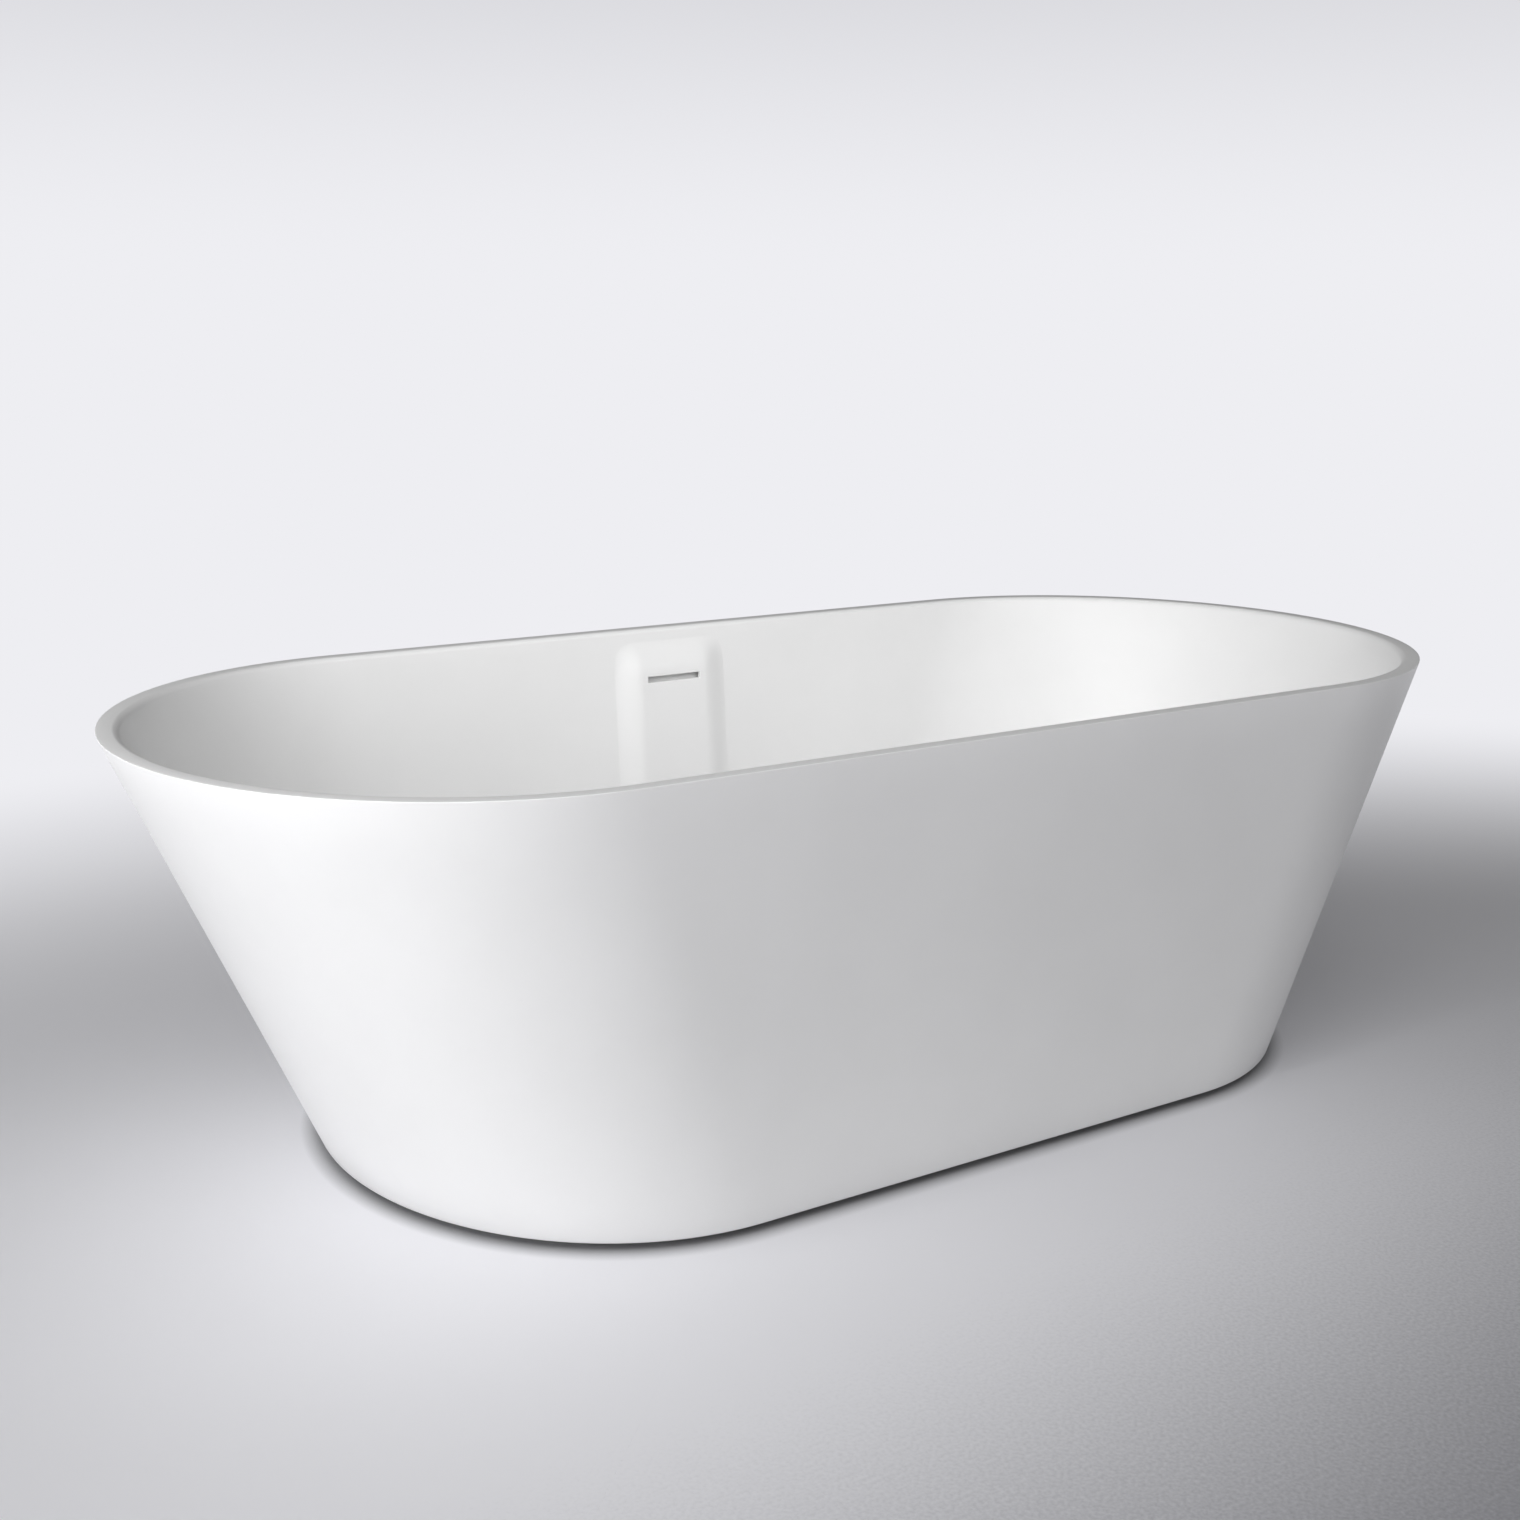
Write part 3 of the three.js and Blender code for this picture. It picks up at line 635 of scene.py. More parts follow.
@dataclass
class TubCasting:
    """The one-piece cast tub: outer wall, rim, bowl, skirt and the slab that carries the drain."""

    outline: Outline = field(default_factory=Outline)
    wall: float = 22
    skirt: float = 20
    rim_round: float = 6
    edge_round: float = 1.2
    base_round: float = 2
    floor: float = 115
    corner: float = 110
    slab: float = 20
    drain_lip: float = 110
    recess: float = 40
    recess_floor: float = 103
    recess_edge: float = 0.4
    drain_hole: float = 26
    lip_round: float = 1.5
    corner_steps: int = 28
    back_steps: int = 12

    def corner_ring(self, turn: float, radius: float) -> Ring:
        """A ring on the round corner between wall (turn 0) and floor (a quarter turn)."""
        height = self.floor + self.corner - radius * math.sin(turn)
        return self.outline.ring(height, self.wall + self.corner - radius * math.cos(turn))

    def outer_edge(self, height: float, radius: float, start: float, end: float) -> list[Ring]:
        """Rings round a small edge of the outer wall, from one angle of its section to another.

        Args:
            height: height of the rounding's centre, which lies its radius inside the wall.
            radius: radius of the rounding.
            start: first angle in quarter turns, where 0 points out of the tub and 1 points up.
            end: last angle in quarter turns.

        Returns:
            The rings, in order.
        """
        rings, steps = [], 4
        for k in range(steps + 1):
            turn = QUARTER * (start + (end - start) * k / steps)
            inset = radius * (1 - math.cos(turn))
            rings.append(self.outline.ring(height + radius * math.sin(turn), inset))
        return rings

    def wall_rings(self, low: float, high: float, inset: float, steps: int) -> list[Ring]:
        """Rings between two heights on a straight wall, without its two ends."""
        return [self.outline.ring(low + (high - low) * k / steps, inset) for k in range(1, steps)]

    def drain_ring(self, radius: float, height: float) -> Ring:
        """A round ring about the drain, its points on the same rays as the edge of the bowl's floor."""
        turns = [math.atan2(p.y, p.x) for p in self.corner_ring(QUARTER, self.corner)]
        return [Vector((radius * math.cos(t), radius * math.sin(t), height)) * MM for t in turns]

    @staticmethod
    def between(first: Ring, last: Ring, steps: int) -> list[Ring]:
        """Rings part of the way from one ring to another, without the two themselves."""
        return [[a.lerp(b, (k / steps) ** 1.5) for a, b in zip(first, last)] for k in range(1, steps)]

    def build(self) -> bmesh.types.BMesh:
        """Loft the whole casting as one closed skin.

        Returns:
            The mesh, with material 1 on the faces that nobody sees in use.
        """
        top, base = self.outline.rim_height, self.outline.base_height
        under = self.corner + self.slab
        under_start = math.acos((self.wall + self.corner - self.skirt) / under)
        under_turn = QUARTER - under_start
        back_corner = [self.corner_ring(under_start + under_turn * k / self.back_steps, under)
                       for k in range(self.back_steps + 1)]
        bowl_corner = [self.corner_ring(QUARTER * (1 - k / self.corner_steps), self.corner)
                       for k in range(self.corner_steps + 1)]
        under_hole = self.drain_ring(self.drain_hole, self.floor - self.slab)
        lip = self.drain_ring(self.recess + self.lip_round, self.drain_lip)
        outside = [
            *self.outer_edge(top - self.edge_round, self.edge_round, 1, 0),
            *self.wall_rings(top - self.edge_round, base + self.base_round, 0, 10),
            *self.outer_edge(base + self.base_round, self.base_round, 0, -1),
        ]
        back = [
            self.outline.ring(base, self.skirt - self.base_round),
            self.outline.ring(base + self.base_round, self.skirt),
            *self.wall_rings(base + self.base_round, back_corner[0][0].z / MM, self.skirt, 5),
            *back_corner,
            *self.between(back_corner[-1], under_hole, 5),
            under_hole,
        ]
        inside = [
            self.drain_ring(self.drain_hole, self.recess_floor),
            self.drain_ring(self.recess, self.recess_floor),
            self.drain_ring(self.recess, self.drain_lip - self.lip_round),
            self.drain_ring(self.recess + self.recess_edge, self.drain_lip - self.recess_edge),
            lip,
            *self.between(bowl_corner[0], lip, 8)[::-1],
            *bowl_corner,
            *self.wall_rings(self.floor + self.corner, top - self.rim_round, self.wall, 8),
            *self.inner_rim(),
        ]
        bands = [0] * len(outside) + [1] * len(back) + [0] * len(inside)
        return loft([*outside, *back, *inside], wrap=True, bands=bands)

    def inner_rim(self) -> list[Ring]:
        """Make rings round the soft inner edge of the rim.

        Returns:
            The rings, from the bowl's wall up to the flat top.
        """
        top, steps = self.outline.rim_height, 8
        rings = []
        for k in range(steps + 1):
            turn = QUARTER * k / steps
            inset = self.wall - self.rim_round * (1 - math.cos(turn))
            rings.append(self.outline.ring(top - self.rim_round * (1 - math.sin(turn)), inset))
        return rings

    def dress(self) -> None:
        """Place the casting with its sanded face and raw back."""
        piece = Piece("tub_casting", "solid_surface", ("tub_shell",))
        piece.place(self.build(), SOLID_SURFACE, CAST_BACK)


@dataclass
class OverflowColumn:
    """The raised strip on the rear wall that hides the overflow channel, with its slot."""

    tub: TubCasting
    flat: float = 48
    foot: float = 92
    proud: float = 11.5
    sink: float = 0.5
    skin: float = 5.2
    top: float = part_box("overflow_cover")[1].z / MM
    fade_from: float = 438
    bottom: float = 168
    slot_half: float = 41
    slot_low: float = 428
    slot_high: float = 436
    slot_round: float = 0.8
    margin: float = 2
    columns: int = 94
    rows: int = 80

    def lift(self, x: float, height: float) -> float:
        """How far the strip's face stands off the wall; under zero it is buried in the wall.

        Args:
            x: distance from the strip's middle.
            height: height above the floor.

        Returns:
            The lift in millimetres.
        """
        side = ease(abs(x), self.foot, self.flat)
        fade = ease(height, self.top, self.fade_from)
        return (self.proud + self.sink) * side * fade - self.sink

    def build(self) -> bmesh.types.BMesh:
        """Shape a sheet over the wall, cut the slot and give the sheet its thickness.

        Returns:
            The closed strip.
        """
        half, tall = (self.foot + self.margin) * MM, (self.top - self.bottom) / 2 * MM
        bm = bmesh.new()
        upright = at(0, 0, (self.top + self.bottom) / 2) @ Matrix.Rotation(QUARTER, 4, "X")
        shape = upright @ Matrix.Diagonal((half, tall, 1, 1))
        bmesh.ops.create_grid(bm, x_segments=self.columns, y_segments=self.rows, size=1, matrix=shape)
        cuts = [((side * self.slot_half, 0, 0), (1, 0, 0)) for side in (-1, 1)]
        cuts += [((0, 0, height), (0, 0, 1)) for height in (self.slot_low, self.slot_high)]
        for point, normal in cuts:
            bmesh.ops.bisect_plane(bm, geom=[*bm.verts, *bm.edges, *bm.faces], dist=1e-6,
                                   plane_co=Vector(point) * MM, plane_no=normal)
        hole = [face for face in bm.faces if self.in_slot(face.calc_center_median() / MM)]
        bmesh.ops.delete(bm, geom=hole, context="FACES")
        for vert in bm.verts:
            x, height = vert.co.x / MM, vert.co.z / MM
            vert.co.y = (self.tub.outline.half_sizes(height)[2] - self.tub.wall - self.lift(x, height)) * MM
        back = bmesh.ops.extrude_face_region(bm, geom=bm.faces[:], use_keep_orig=True)["geom"]
        behind = [item for item in back if isinstance(item, bmesh.types.BMVert)]
        bmesh.ops.translate(bm, vec=(0, self.skin * MM, 0), verts=behind)
        bmesh.ops.recalc_face_normals(bm, faces=bm.faces[:])
        self.round_slot(bm)
        return bm

    def in_slot(self, centre: Vector) -> bool:
        """Whether a point, in millimetres, lies within the slot."""
        return abs(centre.x) < self.slot_half and self.slot_low < centre.z < self.slot_high

    def round_slot(self, bm: bmesh.types.BMesh) -> None:
        """Round the slot's front edge.

        Args:
            bm: the strip's mesh.
        """
        reach, steep, edges = 0.05, math.radians(60), []
        for edge in bm.edges:
            middle = (edge.verts[0].co + edge.verts[1].co) / 2 / MM
            across = abs(middle.x) < self.slot_half + reach
            upright = self.slot_low - reach < middle.z < self.slot_high + reach
            face_y = self.tub.outline.half_sizes(middle.z)[2] - self.tub.wall - self.proud
            in_front = abs(middle.y - face_y) < 1
            if across and upright and in_front and edge.calc_face_angle(0) > steep:
                edges.append(edge)
        round_edges(bm, edges, self.slot_round, 3)

    def dress(self) -> None:
        """Place the strip in the tub's own material."""
        Piece("overflow_column", "solid_surface", ("overflow_cover",)).place(self.build(), SOLID_SURFACE)


# ---------------------------------------------------------------- overflow, waste and trap


@dataclass
class OverflowRun:
    """The pipework that takes overflow water down behind the wall and under the bowl to the waste."""

    tub: TubCasting
    height: float = 70
    duct_half: float = 30
    duct_insets: tuple[float, float] = (22, 31.7)
    duct_top: float = 176
    duct_low: float = 88
    sump_half: float = 34
    sump_insets: tuple[float, float] = (22.3, 66)
    sump_low: float = 52
    spigot: tuple[float, float] = (12, 15)
    hose: tuple[float, float] = (9.7, 11.7)
    rib_pitch: float = 4
    rib_depth: float = 0.9
    groove_half: tuple[float, float] = (0.9, 0.3)
    nut_clearance: float = 0.3
    nut_taper: float = 3
    nut_shoulder: float = 10
    nut_grooves: int = 16

    def leaning_box(self, half: float, insets: tuple[float, float], low: float,
                    high: float) -> bmesh.types.BMesh:
        """A box whose front and back follow the leaning rear wall.

        Args:
            half: half of its width.
            insets: how far its back and front lie inside the outer wall.
            low: height of its lower face.
            high: height of its upper face.

        Returns:
            The box with rounded edges.
        """
        bm = bmesh.new()
        size = Vector((2 * half, insets[1] - insets[0], high - low)) * MM
        shape = at(0, sum(insets) / 2, (low + high) / 2) @ Matrix.Diagonal((*size, 1))
        bmesh.ops.create_cube(bm, size=1, matrix=shape)
        for vert in bm.verts:
            inset = vert.co.y / MM
            vert.co.y = self.tub.outline.half_sizes(vert.co.z / MM, inset)[2] * MM
        bmesh.ops.recalc_face_normals(bm, faces=bm.faces[:])
        return softened(bm, 1.5)

    def connector(self) -> bmesh.types.BMesh:
        """Make the moulded duct, its sump and the spigot that faces the waste.

        Returns:
            The three shells in one mesh.
        """
        spigot_end = span("overflow_connector")[0].y
        wall = self.tub.outline.half_sizes(self.height, self.sump_insets[1])[2]
        tube = softened(turned(washer(*self.spigot, spigot_end, wall + 1)), 0.6)
        sump = self.leaning_box(self.sump_half, self.sump_insets, self.sump_low, self.duct_low + 2)
        duct = self.leaning_box(self.duct_half, self.duct_insets, self.duct_low, self.duct_top)
        return merged(duct, sump, move(tube, towards_rear(self.height)))

    def ribbed_hose(self) -> bmesh.types.BMesh:
        """Make the plastic pipe with its ribs.

        Returns:
            The pipe in its place.
        """
        inner, outer = self.hose
        (mouth, root), bed = self.groove_half, outer - self.rib_depth
        start, end = (corner.y for corner in span("overflow_pipe"))
        profile = [(inner, start), (outer, start)]
        for k in range(1, int((end - start) / self.rib_pitch)):
            groove = start + k * self.rib_pitch
            profile += [(outer, groove - mouth), (bed, groove - root), (bed, groove + root),
                        (outer, groove + mouth)]
        profile += [(outer, end), (inner, end)]
        return move(turned(profile, 40), towards_rear(self.height))

    def nut(self, node: str, way: int) -> bmesh.types.BMesh:
        """One compression nut.

        Args:
            node: the CAD nut that it stands for.
            way: 1 when it narrows towards the rear, -1 when it narrows towards the waste.

        Returns:
            The nut in its place.
        """
        low, high = span(node)
        length, outer = high.y - low.y, (high.z - low.z) / 2
        bore, mouth = self.spigot[1] + self.nut_clearance, self.hose[1] + self.nut_clearance
        taper, shoulder = self.nut_taper, length - self.nut_shoulder
        profile = [(bore, 0), (outer, 0), (outer, length - taper), (outer - taper, length), (mouth, length),
                   (mouth, shoulder), (bore, shoulder)]
        shape = grip(softened(turned(profile, 96), 0.6), outer, self.nut_grooves, 1.0)
        start = low.y if way > 0 else high.y
        return move(shape, at(0, start, self.height) @ Matrix.Rotation(-way * QUARTER, 4, "X"))

    def dress(self) -> None:
        """Place the four pieces of the run."""
        Piece("overflow_duct", "grey_plastic", ("overflow_connector",)).place(self.connector(), GREY_PP)
        Piece("overflow_hose", "grey_plastic", ("overflow_pipe",)).place(self.ribbed_hose(), GREY_PP)
        for node, way in (("overflow_nut_front", 1), ("overflow_nut_rear", -1)):
            Piece(f"{node}_moulded", "black_plastic", (node,)).place(self.nut(node, way), BLACK_PP)


@dataclass
class PopUpWaste:
    """The drain in the bowl's floor: flange, click plug, seals and the cup under the floor."""

    sleeve_low: float = 80
    sleeve: tuple[float, float] = (20, 24)
    seat: float = 105.5
    thread_pitch: float = 1.6
    thread_depth: float = 0.7
    brim: float = 35
    brim_top: float = 108.5
    brim_edge: tuple[float, float] = (2.2, 1.3)
    mouth: float = 22
    mouth_round: float = 2
    hub: tuple[float, float] = (5.3, 8)
    hub_low: float = 82
    hub_height: float = 8
    bar_half: float = 1.5
    cup: float = 34
    cup_lip: float = 38
    cup_flare: tuple[float, float] = (84, 87)
    cup_bottom: float = 50
    cup_top: float = 91.4
    cup_wall: float = 3.5
    neck: float = 24.3
    neck_low: float = 78
    inlet: tuple[float, float] = (12, 15)
    inlet_height: float = 70
    outlet: tuple[float, float] = (14, 16)
    outlet_height: float = 70.5
    plug: float = 33
    plug_depth: float = 7
    plug_edge: float = 1.8
    plug_dome: float = 0.8
    plug_boss: float = 12.2
    stem: float = 2.5
    stem_head: float = 12

    def flange(self) -> bmesh.types.BMesh:
        """Make the threaded sleeve with its polished brim, and the hub on its two cross bars.

        Returns:
            The flange in one mesh.
        """
        inner, outer = self.sleeve
        edge, lip = self.brim_edge, self.mouth_round
        thread = threads(outer, self.sleeve_low + 1, self.seat - 3, self.thread_pitch, self.thread_depth)
        profile = [(inner, self.sleeve_low), (outer - 0.8, self.sleeve_low), *thread, (outer, self.seat),
                   (self.brim, self.seat)]
        profile += quarter(self.brim - edge[0], self.brim_top - edge[1], *edge)
        profile += quarter(self.mouth, self.brim_top - lip, -lip, lip)[::-1]
        half = self.sleeve[0] + 0.5
        low = Vector((-half, -self.bar_half, self.hub_low + 1))
        high = Vector((half, self.bar_half, self.hub_low + 6))
        bars = [brick(low, high, 0.5), move(brick(low, high, 0.5), Matrix.Rotation(QUARTER, 4, "Z"))]
        hub = turned(washer(*self.hub, self.hub_low, self.hub_low + self.hub_height), 48)
        return merged(turned(profile, 96), softened(hub, 0.5), *bars)

    def waste_cup(self) -> bmesh.types.BMesh:
        """Make the cup that is clamped under the floor, with an inlet for the overflow and an outlet.

        Returns:
            The three shells in one mesh.
        """
        cup, wall, bottom = self.cup, self.cup_wall, self.cup_bottom
        profile = [(0, bottom), (cup, bottom), (cup, self.cup_flare[0]), (self.cup_lip, self.cup_flare[1]),
                   (self.cup_lip, self.cup_top), (self.neck, self.cup_top), (self.neck, self.neck_low),
                   (cup - wall, self.neck_low), (cup - wall, bottom + wall), (0, bottom + wall)]
        low, high = span("waste_body")
        inlet = move(turned(washer(*self.inlet, cup - 3, high.y)), towards_rear(self.inlet_height))
        outlet = move(turned(washer(*self.outlet, cup - 3, -low.x)), towards_left(self.outlet_height))
        return merged(softened(turned(profile, 96), 0.8), softened(inlet, 0.6), softened(outlet, 0.6))

    def domed_plug(self) -> bmesh.types.BMesh:
        """Make the cap that closes the drain, slightly domed, with a soft edge.

        Returns:
            The closed cap.
        """
        low, high = span("drain_plug")
        under, edge, dome, steps = high.z - self.plug_depth, self.plug_edge, self.plug_dome, 6
        flat = self.plug - edge
        profile = [(0, low.z), (self.plug_boss, low.z), (self.plug_boss, under), (self.plug - 1, under),
                   (self.plug, under + 1), *quarter(flat, high.z - dome - edge, edge, edge)]
        for k in range(1, steps + 1):
            radius = flat * (1 - k / steps)
            profile.append((radius, high.z - dome * (radius / flat) ** 2))
        return turned(profile, 96)

    def dress(self) -> None:
        """Place the whole waste: the fixed pieces on the tub and the moving ones on the plug."""
        fixed = Piece("waste_flange", "chrome", ("drain_flange",))
        fixed.place(self.flange(), CHROME, crease=28)
        Piece("waste_cup", "grey_plastic", ("waste_body",)).place(self.waste_cup(), GREY_PP)
        for node in ("flange_gasket", "waste_gasket"):
            low, high = span(node)
            ring = softened(turned(washer(self.sleeve[1] + 0.5, high.x, low.z, high.z), 96), 0.4)
            Piece(f"{node}_ring", "black_rubber", (node,)).place(ring, RUBBER)
        low, high = span("click_cartridge")
        collar = self.hub_low + self.hub_height + 0.3
        latch = [(0, low.z), (5, low.z), (5, collar), (7, collar), (7, high.z - 1), (6, high.z)]
        latch += [(2.8, high.z), (2.8, low.z + 2), (0, low.z + 2)]
        Piece("click_latch", "white_plastic", ("click_cartridge",)).place(turned(latch, 48), WHITE_PP)
        self.dress_plug()

    def dress_plug(self) -> None:
        """Place the pieces that rise with the plug."""
        low, high = span("plug_stem")
        stem, head, under_head = self.stem, self.stem_head, high.z - 2
        thread = threads(stem, low.z + 12, high.z - 3, 0.8, 0.35)
        profile = [(0, low.z), (stem - 0.4, low.z), (stem, low.z + 0.4), *thread, (stem, under_head),
                   (head, under_head), (head, high.z), (0, high.z)]
        Piece("lift_stem", "zinc_steel", ("plug_stem",), PLUG_BODY).place(turned(profile, 48), ZINC)
        low, high = span("plug_seal")
        seal = softened(turned(washer(12.5, high.x, low.z, high.z), 96), 0.5, 3)
        Piece("plug_seal_ring", "black_rubber", ("plug_seal",), PLUG_BODY).place(seal, RUBBER)
        cap = Piece("click_plug", "solid_surface", ("drain_plug",), PLUG_BODY)
        cap.place(self.domed_plug(), SOLID_SURFACE, crease=50)


@dataclass
class LowTrap:
    """The shallow trap under the bowl and the pipe that runs to the drain hose."""

    height: float = 70.5
    pipe: tuple[float, float] = (14, 16)
    lead: float = 15
    dip: float = 46
    nut_bore: float = 16.3
    grooves: int = 14
    socket_depth: float = 7.7
    collar: float = 5
    waist: float = 1.5

    def straight(self, node: str) -> bmesh.types.BMesh:
        """A plain length of pipe, or a seal, along -X."""
        low, high = span(node)
        return move(softened(turned(washer(*self.pipe, -high.x, -low.x)), 0.4), towards_left(self.height))

    def nut(self, node: str) -> bmesh.types.BMesh:
        """Make a union nut with finger grooves.

        Args:
            node: the CAD nut that it stands for.

        Returns:
            The nut in its place.
        """
        low, high = span(node)
        outer = (high.z - low.z) / 2
        shape = softened(turned(washer(self.nut_bore, outer, -high.x, -low.x), 112), 0.9)
        return move(grip(shape, outer, self.grooves, 1.1), towards_left(self.height))

    def dipped_pipe(self) -> bmesh.types.BMesh:
        """Make the trap's own pipe: level at both ends, with a smooth dip between them.

        Returns:
            The closed pipe in its place.
        """
        low, high = span("trap_body")
        start, length, steps, points = -high.x, high.x - low.x, 72, 48

        def centre(reach: float) -> Vector:
            """Point of the centre line at a distance from the start."""
            share = min(max((reach - self.lead) / (length - 2 * self.lead), 0), 1)
            return Vector((-start - reach, 0, self.height - self.dip * math.sin(math.pi * share) ** 2))

        def ring(step: int, radius: float) -> Ring:
            """Make a ring across the centre line.

            Args:
                step: which step along the line it stands at.
                radius: its radius.

            Returns:
                The ring, in metres.
            """
            reach = length * step / steps
            ahead = (centre(reach + 0.1) - centre(reach - 0.1)).normalized()
            side = Vector((0, 1, 0))
            up = ahead.cross(side)
            turns = [math.tau * k / points for k in range(points)]
            return [(centre(reach) + radius * (math.cos(t) * side + math.sin(t) * up)) * MM for t in turns]

        inner, outer = self.pipe
        outside = [ring(step, outer) for step in range(steps + 1)]
        return loft([*outside, *(ring(step, inner) for step in range(steps, -1, -1))], wrap=True)

    def coupling(self) -> bmesh.types.BMesh:
        """Make the socket at the end of the outlet pipe.

        Returns:
            The socket in its place.
        """
        low, high = span("outlet_coupling")
        start, end, outer = -high.x, -low.x, (high.z - low.z) / 2
        socket, inner, waist, collar = end - self.socket_depth, self.pipe[0], outer - self.waist, self.collar
        profile = [(self.nut_bore, start), (outer, start), (outer, start + collar),
                   (waist, start + collar + 1), (waist, end - collar - 1), (outer, end - collar),
                   (outer, end), (inner, end), (inner, socket), (self.nut_bore, socket)]
        return move(softened(turned(profile, 96), 0.5), towards_left(self.height))

    def dress(self) -> None:
        """Place the trap's pieces in their order along the pipe."""
        rows = (
            ("trap_inlet_seal", self.straight, "black_rubber", RUBBER),
            ("trap_inlet_nut", self.nut, "white_plastic", WHITE_PP),
            ("trap_outlet_seal", self.straight, "black_rubber", RUBBER),
            ("trap_outlet_nut", self.nut, "white_plastic", WHITE_PP),
            ("outlet_pipe", self.straight, "white_plastic", WHITE_PP),
        )
        for node, make, slot, finish in rows:
            Piece(f"{node}_moulded", slot, (node,)).place(make(node), finish)
        Piece("dipped_trap", "white_plastic", ("trap_body",)).place(self.dipped_pipe(), WHITE_PP)
        Piece("drain_socket", "grey_plastic", ("outlet_coupling",)).place(self.coupling(), GREY_PP)


# ---------------------------------------------------------------- frame and feet


@dataclass
class SupportFrame:
    """The welded frame of square tube under the bowl, with its caps and bonding blocks."""

    tube: float = 25
    wall: float = 2
    corner: float = 3
    bead: float = 2.2
    bead_height: float = 1.32
    cap_plate: float = 3
    cap_clearance: float = 0.4
    glue_overhang: float = 1.8
    glue_half: float = 1.4
    glue_step: float = 1.2
    rows: tuple[str, ...] = ("front", "rear")
    ends: tuple[str, ...] = ("left", "right")
    blocks_per_row: int = 4

    def square_tube(self, length: float) -> bmesh.types.BMesh:
        """Make a square tube along X with round corners and an open bore.

        Args:
            length: its length.

        Returns:
            The tube about its middle.
        """
        half, end = self.tube / 2, length / 2
        inner, inner_corner = half - self.wall, self.corner - self.wall
        rings = [rounded_square(half, self.corner, -end), rounded_square(half, self.corner, end)]
        rings += [rounded_square(inner, inner_corner, end), rounded_square(inner, inner_corner, -end)]
        return loft(rings, wrap=True)

    def weld_bead(self, across: float) -> bmesh.types.BMesh:
        """Make a fillet weld round the end of a crossbar.

        Args:
            across: its place along X.

        Returns:
            The closed bead.
        """
        rings, facets = [], 8
        for k in range(facets):
            turn = math.tau * k / facets
            half = self.tube / 2 + self.bead_height * math.cos(turn)
            rings.append(rounded_square(half, self.corner, across + self.bead * math.sin(turn), points=12))
        return loft(rings, wrap=True)

    def rails(self) -> None:
        """Place the two rails and the two crossbars with their welds."""
        for row in self.rows:
            node = f"frame_rail_{row}"
            low, high = span(node)
            rail = move(self.square_tube(high.x - low.x), at(*((low + high) / 2)))
            Piece(f"rail_{row}", "frame_steel", (node,)).place(rail, POWDER_COAT)
        for end in self.ends:
            node = f"frame_crossbar_{end}"
            low, high = span(node)
            length = high.y - low.y
            bar = merged(self.square_tube(length), *(self.weld_bead(side * length / 2) for side in (-1, 1)))
            move(bar, at(*((low + high) / 2)) @ Matrix.Rotation(QUARTER, 4, "Z"))
            Piece(f"crossbar_{end}", "frame_steel", (node,)).place(bar, POWDER_COAT)

    def end_cap(self, node: str, outward: int) -> bmesh.types.BMesh:
        """Make the plug in the end of a rail: a plate outside and a tongue inside.

        Args:
            node: the CAD cap that it stands for.
            outward: 1 at the right end, -1 at the left end.

        Returns:
            The cap in its place.
        """
        low, high = span(node)
        face = high.x if outward > 0 else low.x
        seam = face - outward * self.cap_plate
        plate = brick(Vector((min(face, seam), low.y, low.z)), Vector((max(face, seam), high.y, high.z)), 1.0)
        play = self.wall + self.cap_clearance
        inset = Vector((0, play, play))
        tongue = brick(Vector((low.x if outward > 0 else seam, low.y, low.z)) + inset,
                       Vector((seam if outward > 0 else high.x, high.y, high.z)) - inset, 0.8)
        return merged(plate, tongue)

    def caps_and_blocks(self) -> None:
        """Place the rail caps, the bonding blocks and the adhesive round each block."""
        for row in self.rows:
            for end in self.ends:
                node = f"rail_cap_{row}_{end}"
                cap = self.end_cap(node, 1 if end == "right" else -1)
                Piece(f"{node}_moulded", "black_plastic", (node,)).place(cap, BLACK_PP)
            for number in range(1, self.blocks_per_row + 1):
                node = f"bonding_block_{row}_{number}"
                low, high = span(node)
                Piece(f"{node}_board", "bonding_block", (node,)).place(brick(low, high, 0.8), BOARD)
                levels = (low.z + self.glue_step, high.z - self.glue_step)
                pads = [self.glue(low, high, level) for level in levels]
                Piece(f"adhesive_{row}_{number}", "bonding_block").place(merged(*pads), ADHESIVE)

    def glue(self, low: Vector, high: Vector, height: float) -> bmesh.types.BMesh:
        """Make a flat pad of adhesive that squeezes out a little past a block.

        Args:
            low: the block's lowest corner.
            high: the block's highest corner.
            height: the pad's middle height.

        Returns:
            The pad with a round edge.
        """
        out = Vector((self.glue_overhang, self.glue_overhang, 0))
        under, over = height - self.glue_half, height + self.glue_half
        corner, other = Vector((low.x, low.y, under)), Vector((high.x, high.y, over))
        return softened(brick(corner - out, other + out, 1.2), 0.5)

    def dress(self) -> None:
        """Place the whole frame."""
        self.rails()
        self.caps_and_blocks()


